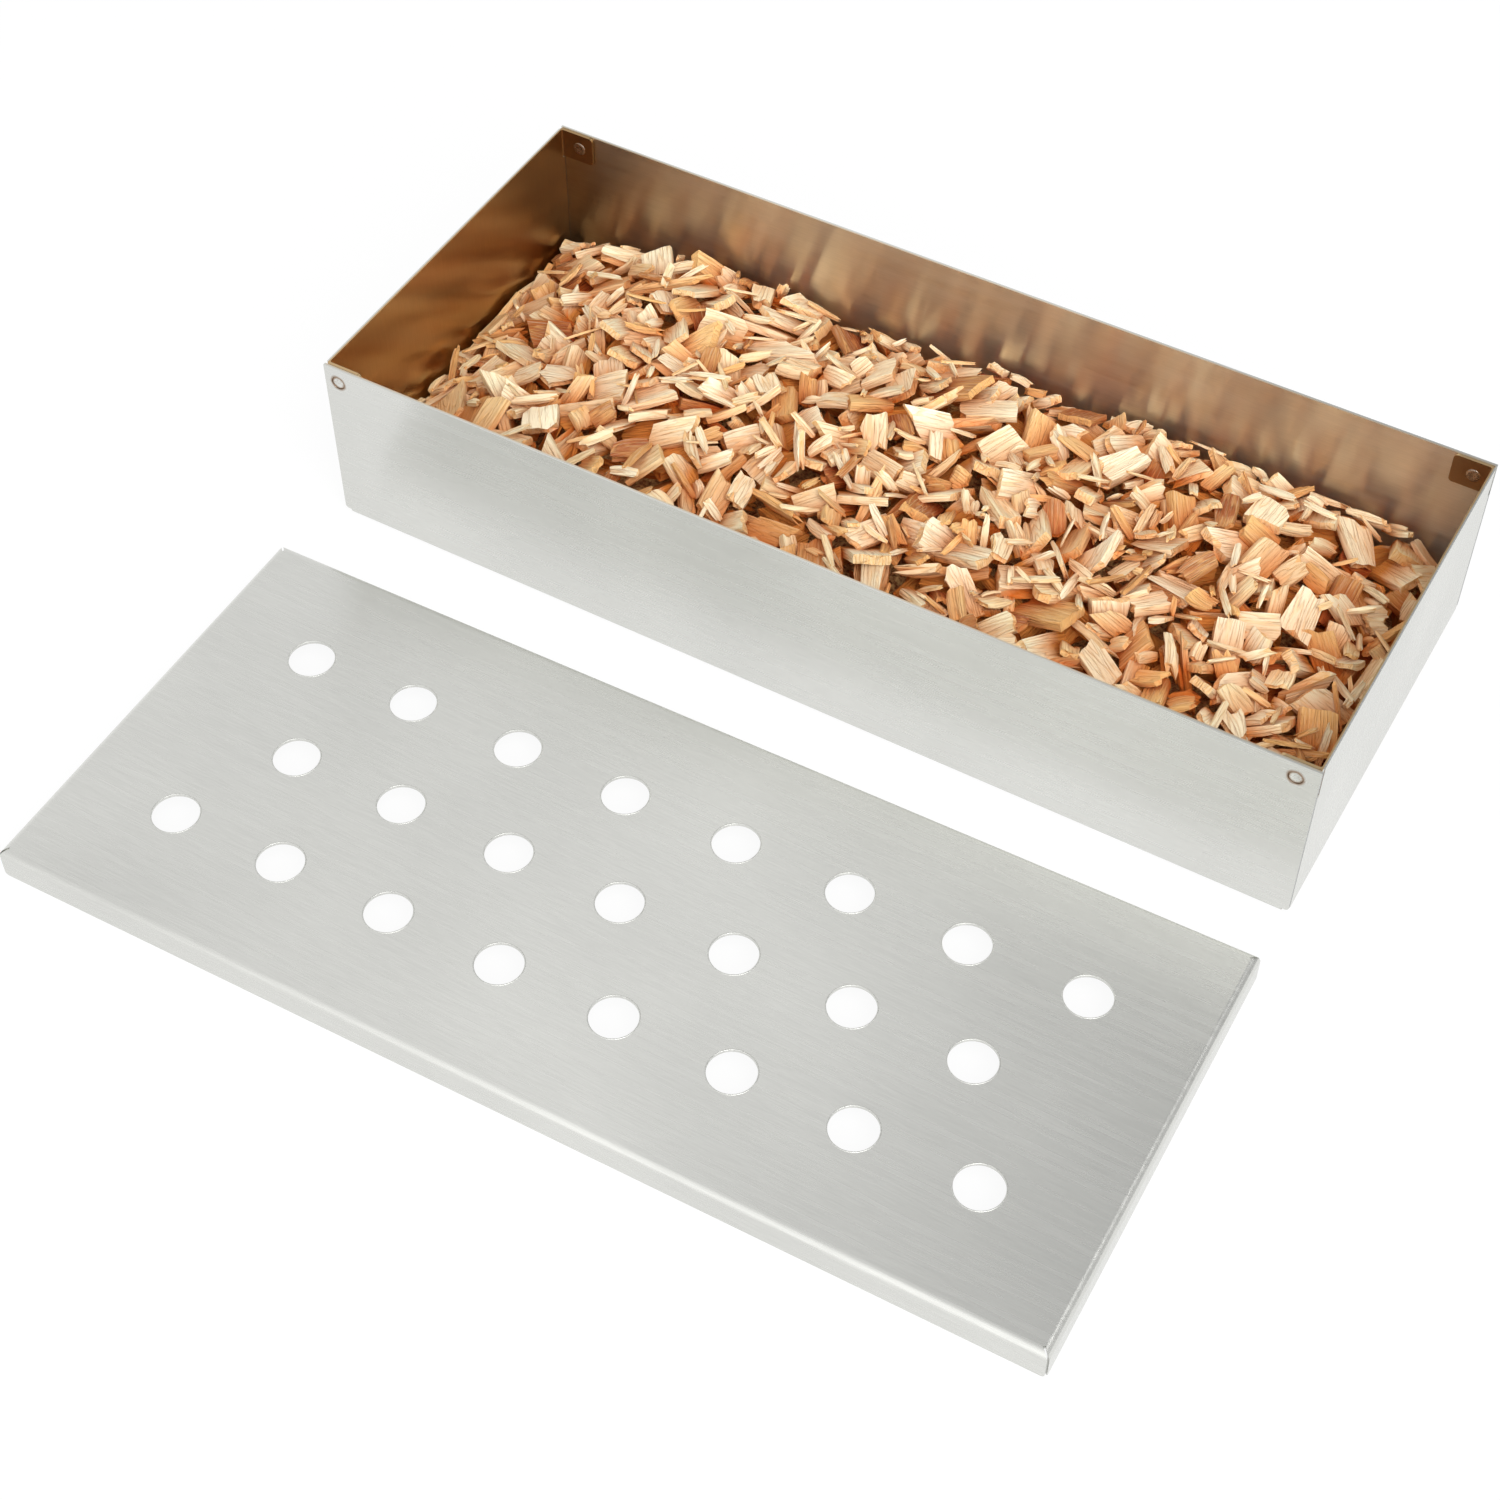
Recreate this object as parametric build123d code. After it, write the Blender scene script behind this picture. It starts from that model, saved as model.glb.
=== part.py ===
from build123d import *
import math
import os
from typing import NamedTuple

import numpy as np

# A grill smoker box: a tray folded from one steel blank, its slip-over lid with smoke holes,
# and the charge of wood chips that smoulders in the tray. All lengths are millimetres.
# X runs along the tray, the lid lies in front of it towards -Y, and Z is up.
# The origin is the middle of the tray's underside.

# Tray
tray_length = 230.0
tray_width = 96.0
tray_height = 44.5
sheet = 0.7  # thickness of the tray's and the lid's steel
tray_bend = 0.8  # inside radius where the walls fold up from the base
seam_gap = 0.15  # between an end wall's upright edge and the long wall beside it
foot_corner_radius = 0.8  # lower corners of the long walls

# Corner tabs: ears of the end walls, folded in behind the long walls at the rim
tab_length = 9.0
tab_height = 7.5
tab_bend = 0.5  # inside radius of the tab's fold
tab_gap = 0.08  # between a tab and the long wall that it is welded to
tab_corner_radius = 1.0
tab_relief = 0.5  # slit under the tab that lets its fold start

# Spot welds, each through a tab and its long wall
weld_diameter = 3.2
weld_print = 0.12  # how deep the electrode's round print is, outside
weld_pip = 0.15  # how far the weld stands proud of the tab, inside
weld_drop = 3.9  # from the rim down to a weld's centre
weld_inset_front_left = 3.4  # from the tray's end to a weld's centre
weld_inset_front_right = 4.8
weld_inset_back_left = 5.4
weld_inset_back_right = 4.1

# Lid
lid_gap = 0.6  # running gap all round between the lid's flanges and the tray
lid_height = 7.4
lid_bend = 1.0  # inside radius where the flanges fold down
lid_seam = 0.45  # open seam between two flanges at a corner
flange_corner_radius = 1.0

# Smoke holes, in three rows, the middle one shifted by half a pitch
hole_diameter = 10.0
hole_pitch = 25.9
hole_row_pitch = 24.1
outer_row_holes = 8

# Where the lid lies beside the tray
lid_standoff = 19.0  # clear floor between the tray and the lid
lid_offset = 0.3  # along the tray
lid_turn = 0.98  # degrees, anticlockwise from above

# Heap of chips: heights of its surface above the tray's underside
heap_crown = 27.0
heap_at_left_end = 11.0
heap_at_right_end = 18.0
heap_at_long_walls = 21.5
left_slope = 42.0  # how far in from the end the heap climbs to its crown
right_slope = 30.0
side_slope = 24.0
packed_share = 0.55  # of the heap's depth that is packed, under the loose chips
packed_rest_gap = 0.1  # between the packed chips and the tray's floor
chip_wall_gap = 0.5  # between the chips and the tabs and welds that they are lifted past

# Chips by kind, of middle size
block_length = 10.6
block_width = 7.0
block_thickness = 2.9
flake_length = 12.0
flake_width = 6.2
flake_thickness = 1.6
sliver_length = 15.0
sliver_width = 3.0
sliver_thickness = 1.9
bark_length = 10.5
bark_width = 5.6
bark_thickness = 2.2
size_spread_share = 0.30  # a chip is this share larger or smaller than the middle size, at most

# Outlines seen from above, as shares of a chip's length and width
block_outline_shares = ((-0.50, -0.46), (0.43, -0.50), (0.50, 0.44), (-0.41, 0.50))
flake_outline_shares = ((-0.50, -0.14), (-0.22, -0.50), (0.42, -0.40), (0.50, 0.30), (-0.30, 0.50))
sliver_outline_shares = ((-0.50, -0.22), (0.28, -0.50), (0.50, 0.18), (-0.24, 0.50))
bark_outline_shares = ((-0.50, -0.30), (0.06, -0.50), (0.50, -0.16), (0.36, 0.50), (-0.34, 0.44))
corner_wander_share = 0.07  # how far an outline's corner may stray
slant_share = 0.6  # steepest lean of the cut ends, as shift per thickness

# How the chips are laid
block_share, flake_share, sliver_share, bark_share = 0.42, 0.25, 0.26, 0.07  # of all chips
edgewise_share = 0.22  # of the chips lie on edge
lean_share = 0.30  # usual lean of the others, as rise per run
edgewise_lean_share = 2.2  # lean of those on edge
chip_layers = 3
chip_spacing = 9.2  # of the chips in one layer
turns_tried = 5  # ways round that a chip is tried in before it is let go
grid_step = 0.4  # cells of the height map that chips are dropped on
chip_gap = 0.06  # under a chip, above what it lands on
chip_rise = 4.5  # how far a chip may stand above the heap's surface
chip_seed = 11

# Sizes that follow
tray_bend_outer = tray_bend + sheet
tab_bend_outer = tab_bend + sheet
lid_bend_outer = lid_bend + sheet
lid_length = tray_length + 2 * (lid_gap + sheet)
lid_width = tray_width + 2 * (lid_gap + sheet)
lid_y = -(tray_width / 2 + lid_standoff + lid_width / 2)
base_length = tray_length - 2 * tray_bend_outer
base_width = tray_width - 2 * tray_bend_outer
tab_face = tray_width / 2 - sheet - tab_gap  # where a tab's outer face stands, from the middle
heap_floor = sheet + packed_rest_gap
heap_half_length = tray_length / 2 - sheet - max(tray_bend, chip_wall_gap)
heap_half_width = tab_face - sheet - weld_pip - chip_wall_gap
overrun = sheet  # how far a cut runs past what it cuts


def fold_profile(inner_radius, rise):
    """Section of a sheet that leaves a flat edge at x = 0 and folds up to height rise, its face at y = 0."""
    outer_radius = inner_radius + sheet
    top_left, top_right = (inner_radius, rise), (outer_radius, rise)
    outside = CenterArc((0, outer_radius), outer_radius, -90, 90)
    inside = CenterArc((0, outer_radius), inner_radius, -90, 90)
    edges = [
        outside,
        Line(outside @ 1, top_right),
        Line(top_right, top_left),
        Line(top_left, inside @ 1),
        inside,
        Line(inside @ 0, outside @ 0),
    ]
    return make_face(edges)


def rounded_rectangle(width, height, radius):
    """A face from y = 0 up to height, centred on x, whose two lower corners are rounded."""
    face = Rectangle(width, height, align=(Align.CENTER, Align.MIN))
    return fillet(face.vertices().group_by(Axis.Y)[0], radius)


def long_wall():
    """The front wall with its fold, its outer face at y = -tray_width / 2."""
    profile = Plane((0, -base_width / 2, 0), x_dir=(0, -1, 0), z_dir=(-1, 0, 0)) * fold_profile(
        tray_bend, tray_height
    )
    fold = extrude(profile, base_length / 2, both=True)
    rise = tray_height - tray_bend_outer
    face = rounded_rectangle(tray_length, rise, foot_corner_radius)
    wall = Plane((0, -tray_width / 2, tray_bend_outer), x_dir=(1, 0, 0), z_dir=(0, -1, 0)) * face
    return fold + extrude(wall, -sheet)


def end_wall():
    """The right end wall with its fold and its two tabs, its outer face at x = tray_length / 2."""
    end = tray_length / 2
    profile = Plane((base_length / 2, 0, 0), x_dir=(1, 0, 0), z_dir=(0, -1, 0)) * fold_profile(
        tray_bend, tray_height
    )
    half_width = tray_width / 2 - sheet - seam_gap
    neck_half_width = tab_face - tab_bend_outer
    shoulder = tray_height - tab_height - tab_relief
    outline = Polyline(
        (-half_width, tray_bend_outer),
        (half_width, tray_bend_outer),
        (half_width, shoulder),
        (neck_half_width, shoulder),
        (neck_half_width, tray_height),
        (-neck_half_width, tray_height),
        (-neck_half_width, shoulder),
        (-half_width, shoulder),
        close=True,
    )
    flat = Plane((end, 0, 0), x_dir=(0, 1, 0), z_dir=(1, 0, 0)) * make_face(outline)
    tab = corner_tab(neck_half_width)
    wall = extrude(profile, base_width / 2, both=True) + extrude(flat, -sheet)
    return wall + tab + mirror(tab, Plane.XZ)


def corner_tab(neck_half_width):
    """The tab at the back of the right end wall: it folds round to lie inside the back wall."""
    start = Plane(
        (tray_length / 2, neck_half_width, tray_height - tab_height),
        x_dir=(0, 1, 0),
        z_dir=(0, 0, 1),
    )
    strip = extrude(start * fold_profile(tab_bend, tab_length), tab_height)
    free_edges = strip.edges().filter_by(Axis.Y).group_by(Axis.X)[0]
    return fillet(free_edges, tab_corner_radius)


def weld_centres():
    """(x, side) of each spot weld, where side is -1 at the front and 1 at the back."""
    end = tray_length / 2
    return [
        (-end + weld_inset_front_left, -1),
        (end - weld_inset_front_right, -1),
        (-end + weld_inset_back_left, 1),
        (end - weld_inset_back_right, 1),
    ]


def weld_cylinder(x, side, start, end):
    """The round of a weld, from start to end as depths inside a long wall's outer face."""
    y = side * (tray_width / 2 - start)
    plane = Plane((x, y, tray_height - weld_drop), x_dir=(-side, 0, 0), z_dir=(0, side, 0))
    return extrude(plane * Circle(weld_diameter / 2), start - end)


def weld_nugget(x, side):
    """One spot weld: it fills the sheets from the electrode's print to a pip on the tab."""
    return weld_cylinder(x, side, weld_print, 2 * sheet + tab_gap + weld_pip)


def make_tray():
    """The tray: base, four walls and four tabs of one sheet, holed for the welds."""
    base = Box(base_length, base_width, sheet, align=(Align.CENTER, Align.CENTER, Align.MIN))
    front, right = long_wall(), end_wall()
    tray = base + front + mirror(front, Plane.XZ) + right + mirror(right, Plane.YZ)
    reach = 2 * sheet + tab_gap + overrun
    return tray - [weld_cylinder(x, side, 0, reach) for x, side in weld_centres()]


def lid_side(length, distance):
    """The front flange of a lid that is length long, its outer face distance from the middle."""
    start = Plane((0, -(distance - lid_bend_outer), lid_height), x_dir=(0, -1, 0), z_dir=(1, 0, 0))
    strip = extrude(start * fold_profile(lid_bend, lid_height), length / 2, both=True)
    seam_setback = lid_seam * math.sqrt(0.5)
    outer_half = length / 2 - seam_setback
    inner_half = outer_half - lid_bend_outer
    mitre = Polyline(
        (-outer_half, -distance),
        (outer_half, -distance),
        (inner_half, -distance + lid_bend_outer),
        (-inner_half, -distance + lid_bend_outer),
        close=True,
    )
    face = rounded_rectangle(2 * outer_half, lid_height, flange_corner_radius)
    front_view = Plane((0, -distance, 0), x_dir=(1, 0, 0), z_dir=(0, -1, 0)) * face
    return strip & extrude(make_face(mitre), lid_height) & extrude(front_view, -lid_bend_outer)


def hole_places():
    """Centres of the smoke holes on the lid."""
    places = []
    for row in (-1, 0, 1):
        count = outer_row_holes if row else outer_row_holes - 1
        for i in range(count):
            places.append(((i - (count - 1) / 2) * hole_pitch, row * hole_row_pitch))
    return places


def make_lid():
    """The lid: a holed top with four flanges, turned and set down in front of the tray."""
    top_size = lid_length - 2 * lid_bend_outer, lid_width - 2 * lid_bend_outer
    top = Pos(0, 0, lid_height) * Box(
        *top_size, sheet, align=(Align.CENTER, Align.CENTER, Align.MAX)
    )
    front = lid_side(lid_length, lid_width / 2)
    right = Rot(0, 0, 90) * lid_side(lid_width, lid_length / 2)
    lid = top + front + mirror(front, Plane.XZ) + right + mirror(right, Plane.YZ)
    punch = Cylinder(hole_diameter / 2, 2 * sheet)
    lid -= [Pos(x, y, lid_height) * punch for x, y in hole_places()]
    return Pos(lid_offset, lid_y, 0) * Rot(0, 0, lid_turn) * lid


def packed_top(roof):
    """Height of the packed chips under a place where the heap's surface is at height roof."""
    return heap_floor + (roof - heap_floor) * packed_share


def heap_roof(x, y):
    """Height of the heap's hipped surface at x, y, for numbers or arrays."""
    left = heap_at_left_end + (heap_crown - heap_at_left_end) * (heap_half_length + x) / left_slope
    right = heap_at_right_end + (heap_crown - heap_at_right_end) * (heap_half_length - x) / right_slope
    side = heap_at_long_walls + (heap_crown - heap_at_long_walls) * (heap_half_width - abs(y)) / side_slope
    return np.minimum(np.minimum(left, right), np.minimum(side, heap_crown))


def make_packed_chips():
    """The chips under the loose ones, packed down to one mass with a hipped top."""
    crown = packed_top(heap_crown)
    along = Polyline(
        (-heap_half_length, heap_floor),
        (heap_half_length, heap_floor),
        (heap_half_length, packed_top(heap_at_right_end)),
        (heap_half_length - right_slope, crown),
        (-heap_half_length + left_slope, crown),
        (-heap_half_length, packed_top(heap_at_left_end)),
        close=True,
    )
    across = Polyline(
        (-heap_half_width, heap_floor),
        (heap_half_width, heap_floor),
        (heap_half_width, packed_top(heap_at_long_walls)),
        (heap_half_width - side_slope, crown),
        (-heap_half_width + side_slope, crown),
        (-heap_half_width, packed_top(heap_at_long_walls)),
        close=True,
    )
    lengthwise = extrude(Plane.XZ * make_face(along), heap_half_width, both=True)
    crosswise = extrude(Plane.YZ * make_face(across), heap_half_length, both=True)
    return lengthwise & crosswise


chip_kinds = {
    "block_chips": (block_share, block_outline_shares, (block_length, block_width, block_thickness)),
    "flake_chips": (flake_share, flake_outline_shares, (flake_length, flake_width, flake_thickness)),
    "sliver_chips": (sliver_share, sliver_outline_shares, (sliver_length, sliver_width, sliver_thickness)),
    "bark_chips": (bark_share, bark_outline_shares, (bark_length, bark_width, bark_thickness)),
}


class Chip:
    """One chip: a convex outline, a thickness, and ends that lean by slant per unit of thickness."""

    def __init__(self, random, outline_shares, middle_size):
        size = np.array(middle_size) * random.uniform(1 - size_spread_share, 1 + size_spread_share, 3)
        wander = random.uniform(-corner_wander_share, corner_wander_share, (len(outline_shares), 2))
        self.outline = (np.array(outline_shares) + wander) * size[:2]
        self.thickness = float(size[2])
        self.reach = float(np.hypot(*size[:2])) / 2
        self.slant = np.array([random.uniform(-slant_share, slant_share), 0.0, 1.0])
        self.on_edge = random.random() < edgewise_share

    def planes(self):
        """Outward normals and offsets of the faces, about the chip's own middle."""
        half = self.thickness / 2
        edge = np.roll(self.outline, -1, axis=0) - self.outline
        normals = [np.cross((dx, dy, 0.0), self.slant) for dx, dy in edge]
        offsets = [float(n[:2] @ corner) for n, corner in zip(normals, self.outline)]
        normals += [np.array([0.0, 0.0, 1.0]), np.array([0.0, 0.0, -1.0])]
        return np.array(normals), np.array(offsets + [half, half])

    def corners(self):
        """All corners about the chip's own middle, the lower face first."""
        flat = np.column_stack([self.outline, np.zeros(len(self.outline))])
        return np.vstack([flat - self.slant * self.thickness / 2, flat + self.slant * self.thickness / 2])

    def turn(self, random, ground):
        """The chip's axes, as columns, for one way round on ground, the normal of what is under it."""
        leaning = random.uniform(0, 2 * math.pi)
        if self.on_edge:
            lean, heading = edgewise_lean_share, leaning + random.normal(math.pi / 2, lean_share)
        else:
            lean, heading = random.normal(0, lean_share), random.uniform(0, 2 * math.pi)
        up = ground + (lean * math.cos(leaning), lean * math.sin(leaning), 0.0)
        up /= np.linalg.norm(up)
        along = np.array([math.cos(heading), math.sin(heading), 0.0])
        along -= up * (along @ up)
        along /= np.linalg.norm(along)
        return np.column_stack([along, np.cross(up, along), up])

    def solid(self):
        """The chip as a solid where it lies."""
        place = Plane(tuple(self.place), x_dir=tuple(self.axes[:, 0]), z_dir=tuple(self.axes[:, 2]))
        lower = [tuple(p) for p in self.corners()[: len(self.outline)]]
        face = Face(Wire.make_polygon(lower))
        return place * Solid.extrude(face, Vector(*(self.slant * self.thickness)))


class HeightMap:
    """The pile's upper surface on a square grid, in cells of grid_step."""

    def __init__(self):
        self.nx = round(2 * heap_half_length / grid_step)
        self.ny = round(2 * heap_half_width / grid_step)
        self.x = (np.arange(self.nx) + 0.5) * 2 * heap_half_length / self.nx - heap_half_length
        self.y = (np.arange(self.ny) + 0.5) * 2 * heap_half_width / self.ny - heap_half_width
        xs, ys = np.meshgrid(self.x, self.y, indexing="ij")
        self.top = packed_top(heap_roof(xs, ys))

    def window(self, x, y, reach):
        """Slices of the cells within reach of x, y, along X and along Y."""
        first_x, last_x = np.searchsorted(self.x, (x - reach, x + reach))
        first_y, last_y = np.searchsorted(self.y, (y - reach, y + reach))
        return slice(first_x, last_x), slice(first_y, last_y)

    def slope(self, x, y, reach):
        """Normal of the plane that fits the pile's surface near x, y."""
        near = self.window(x, y, reach)
        xs, ys = np.meshgrid(self.x[near[0]] - x, self.y[near[1]] - y, indexing="ij")
        terms = np.column_stack([xs.ravel(), ys.ravel(), np.full(xs.size, reach)])
        fall = np.linalg.lstsq(terms, self.top[near].ravel(), rcond=None)[0]
        return np.array([-fall[0], -fall[1], 1.0])

    def drop(self, chip, axes, x, y):
        """Lower chip, turned to axes, at x, y until it lands."""
        corners = chip.corners() @ axes.T
        low, high = corners[:, :2].min(0), corners[:, :2].max(0)
        x = float(np.clip(x, -heap_half_length - low[0], heap_half_length - high[0]))
        y = float(np.clip(y, -heap_half_width - low[1], heap_half_width - high[1]))
        near = self.window(x, y, float(np.abs(corners[:, :2]).max()) + grid_step)
        xs, ys = np.meshgrid(self.x[near[0]] - x, self.y[near[1]] - y, indexing="ij")
        normals, offsets = chip.planes()
        normals = normals @ axes.T
        # The chip counts as larger by half a cell's diagonal, for what lies between cell centres
        offsets = offsets + np.hypot(normals[:, 0], normals[:, 1]) * grid_step * math.sqrt(0.5)
        upper = np.full(xs.shape, np.inf)
        lower = np.full(xs.shape, -np.inf)
        for normal, offset in zip(normals, offsets):
            height = (offset - normal[0] * xs - normal[1] * ys) / normal[2]
            if normal[2] > 0:
                upper = np.minimum(upper, height)
            else:
                lower = np.maximum(lower, height)
        inside = lower < upper
        surface = self.top[near]
        z = float(np.max((surface - lower)[inside])) + chip_gap
        hollow = float(np.sum((z + lower - surface)[inside]))
        top = z + float(corners[:, 2].max())
        return Landing(axes, np.array([x, y, z]), top, hollow, near, np.where(inside, upper + z, surface))


class Landing(NamedTuple):
    """Where a dropped chip comes to lie, and what it does to the pile's surface there."""

    axes: np.ndarray
    place: np.ndarray
    top: float
    hollow: float
    near: tuple
    surface: np.ndarray


def strayed_spots(random):
    """Places for one layer of chips, in random order: one anywhere in each square of a grid."""
    half_size = np.array([heap_half_length, heap_half_width])
    counts = np.rint(2 * half_size / chip_spacing)
    squares = np.stack(np.meshgrid(*map(np.arange, counts)), axis=-1).reshape(-1, len(counts))
    shares = (squares + random.random(squares.shape)) / counts
    return random.permutation((2 * shares - 1) * half_size)


def lay_chips():
    """Drop the chips one by one. Each takes the way round that leaves the least hollow under it."""
    random = np.random.default_rng(chip_seed)
    pile = HeightMap()
    laid = {name: [] for name in chip_kinds}
    names = list(chip_kinds)
    odds = [chip_kinds[name][0] for name in names]
    for x, y in np.vstack([strayed_spots(random) for _ in range(chip_layers)]):
        name = names[random.choice(len(names), p=odds)]
        chip = Chip(random, *chip_kinds[name][1:])
        ground = pile.slope(x, y, chip.reach)
        landings = [pile.drop(chip, chip.turn(random, ground), x, y) for _ in range(turns_tried)]
        landing = min(landings, key=lambda tried: tried.hollow)
        if landing.top < heap_roof(*landing.place[:2]) + chip_rise:
            chip.place, chip.axes = landing.place, landing.axes
            pile.top[landing.near] = landing.surface
            laid[name].append(chip)
    return laid


def save(name, shape):
    """Write one node's STEP file."""
    export_step(shape, f"parts/{name}.step")


def main():
    os.makedirs("parts", exist_ok=True)
    save("tray", make_tray())
    save("spot_welds", Compound([weld_nugget(x, side) for x, side in weld_centres()]))
    save("lid", make_lid())
    save("packed_chips", make_packed_chips())
    for name, chips in lay_chips().items():
        save(name, Compound([chip.solid() for chip in chips]))
        print(name, len(chips))


main()
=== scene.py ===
"""A grill smoker box: its brushed steel tray and lid, and the charge of wood chips.

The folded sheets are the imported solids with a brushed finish. The welds, the rims of the punched
holes and every chip are surfaces worked out here, each in the place of its solid. All lengths are
metres, in the solids' own frame.
"""

import math
from functools import cache
from typing import NamedTuple

import bpy
import numpy as np
from mathutils import Matrix, Vector


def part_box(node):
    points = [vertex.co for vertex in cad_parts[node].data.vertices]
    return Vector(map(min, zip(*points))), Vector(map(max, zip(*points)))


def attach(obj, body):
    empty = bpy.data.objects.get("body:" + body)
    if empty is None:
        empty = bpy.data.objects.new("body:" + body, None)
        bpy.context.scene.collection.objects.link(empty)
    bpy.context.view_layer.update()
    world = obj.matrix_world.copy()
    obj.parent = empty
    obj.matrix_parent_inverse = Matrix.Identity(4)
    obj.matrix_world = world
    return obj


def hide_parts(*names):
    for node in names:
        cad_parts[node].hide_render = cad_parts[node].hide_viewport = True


bl_info = {
    "name": "Grill Smoker Box",
    "version": (1, 0, 0),
    "blender": (4, 5, 0),
    "location": "View3D > Sidebar > Smoker Box",
    "description": "Dresses a folded steel smoker box, its holed lid and its wood chips",
    "category": "Object",
}

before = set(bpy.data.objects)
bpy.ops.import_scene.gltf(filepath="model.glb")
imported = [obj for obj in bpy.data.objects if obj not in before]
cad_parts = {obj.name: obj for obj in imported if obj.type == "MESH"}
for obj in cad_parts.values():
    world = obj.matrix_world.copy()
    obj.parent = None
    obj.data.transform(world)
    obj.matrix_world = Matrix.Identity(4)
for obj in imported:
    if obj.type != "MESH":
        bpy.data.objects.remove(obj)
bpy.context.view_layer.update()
mm = 0.001
micrometre = 0.001 * mm


# Properties


colour_kind = {"subtype": "COLOR", "min": 0, "max": 1}


class SheetProperties(bpy.types.PropertyGroup):
    """Finish of the brushed sheet steel."""

    colour: bpy.props.FloatVectorProperty(
        name="Colour",
        description="Colour that the bare steel reflects",
        default=(0.72, 0.722, 0.69),
        **colour_kind,
    )
    # Painted shade and a painted warm reflection of the chips, over the tray's whole inside
    inner_shade_tint: bpy.props.FloatVectorProperty(
        name="Inner Tint",
        description="Tint of the tray's inside, where the steel is unpolished",
        default=(0.97, 0.835, 0.685),
        **colour_kind,
    )
    # Painted shade, darker and browner, on the end walls' inner faces
    end_wall_shade_tint: bpy.props.FloatVectorProperty(
        name="End Wall Tint",
        description="Further tint of the end walls' inner faces, which the smoke stains most",
        default=(0.88, 0.71, 0.48),
        **colour_kind,
    )
    # Painted shade round the back left corner of the tray's inside
    corner_shade_tint: bpy.props.FloatVectorProperty(
        name="Corner Tint",
        description="Further tint of the inside round the back left corner, where the heap is low",
        default=(0.68, 0.63, 0.56),
        **colour_kind,
    )
    # Painted shade: the dark line of the seams at the tray's corners, painted on the sheared edges
    seam_shade_tint: bpy.props.FloatVectorProperty(
        name="Edge Tint",
        description="Colour of the sheared upright edges at the tray's corners",
        default=(0.12, 0.13, 0.14),
        **colour_kind,
    )
    roughness: bpy.props.FloatProperty(
        name="Roughness", description="Blur of the steel's reflections", min=0, max=1, default=0.27
    )
    streak_length: bpy.props.FloatProperty(
        name="Streak Length", description="Length of a brush mark", unit="LENGTH", default=5.5 * mm
    )
    streak_width: bpy.props.FloatProperty(
        name="Streak Width", description="Width of a brush mark", unit="LENGTH", default=0.25 * mm
    )
    streak_depth: bpy.props.FloatProperty(
        name="Streak Depth",
        description="Depth of the brush marks",
        unit="LENGTH",
        default=0.0003 * mm,
    )
    wave_depth: bpy.props.FloatProperty(
        name="Wave Depth",
        description="Depth of the sheet's slow waves",
        unit="LENGTH",
        default=0.08 * mm,
    )
    tab_width: bpy.props.FloatProperty(
        name="Tab Width",
        description="Reach of the corner tabs from the tray's ends",
        unit="LENGTH",
        default=9.4 * mm,
    )
    tab_height: bpy.props.FloatProperty(
        name="Tab Height",
        description="Reach of the corner tabs below the rim",
        unit="LENGTH",
        default=7.8 * mm,
    )
    wall: bpy.props.FloatProperty(
        name="Sheet", description="Thickness of the sheet", unit="LENGTH", default=0.7 * mm
    )


class WeldProperties(bpy.types.PropertyGroup):
    """Spot welds and the heat rings round them."""

    tint: bpy.props.FloatVectorProperty(
        name="Heat Tint",
        description="Colour of the ring that the heat left",
        default=(0.26, 0.14, 0.06),
        **colour_kind,
    )
    tab_tint: bpy.props.FloatVectorProperty(
        name="Tab Tint",
        description="Colour that welding left on the thin corner tabs",
        default=(0.30, 0.20, 0.13),
        **colour_kind,
    )
    pit_tint: bpy.props.FloatVectorProperty(
        name="Pit Tint",
        description="Colour in the small pits of a weld",
        default=(0.42, 0.36, 0.30),
        **colour_kind,
    )
    ring_width: bpy.props.FloatProperty(
        name="Ring Width", description="Width of the heat ring", unit="LENGTH", default=0.6 * mm
    )
    ridge: bpy.props.FloatProperty(
        name="Ridge",
        description="Height of the ridge round a weld's print",
        unit="LENGTH",
        default=0.09 * mm,
    )
    pip: bpy.props.FloatProperty(
        name="Pip",
        description="Height of a weld's pip on the inside",
        unit="LENGTH",
        default=0.15 * mm,
    )


class LidProperties(bpy.types.PropertyGroup):
    """Rolled rims of the punched smoke holes."""

    rim_width: bpy.props.FloatProperty(
        name="Rim Width",
        description="Width of a hole's rolled rim",
        unit="LENGTH",
        default=0.22 * mm,
    )
    rim_height: bpy.props.FloatProperty(
        name="Rim Height",
        description="Height of a hole's rolled rim",
        unit="LENGTH",
        default=0.05 * mm,
    )


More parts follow.
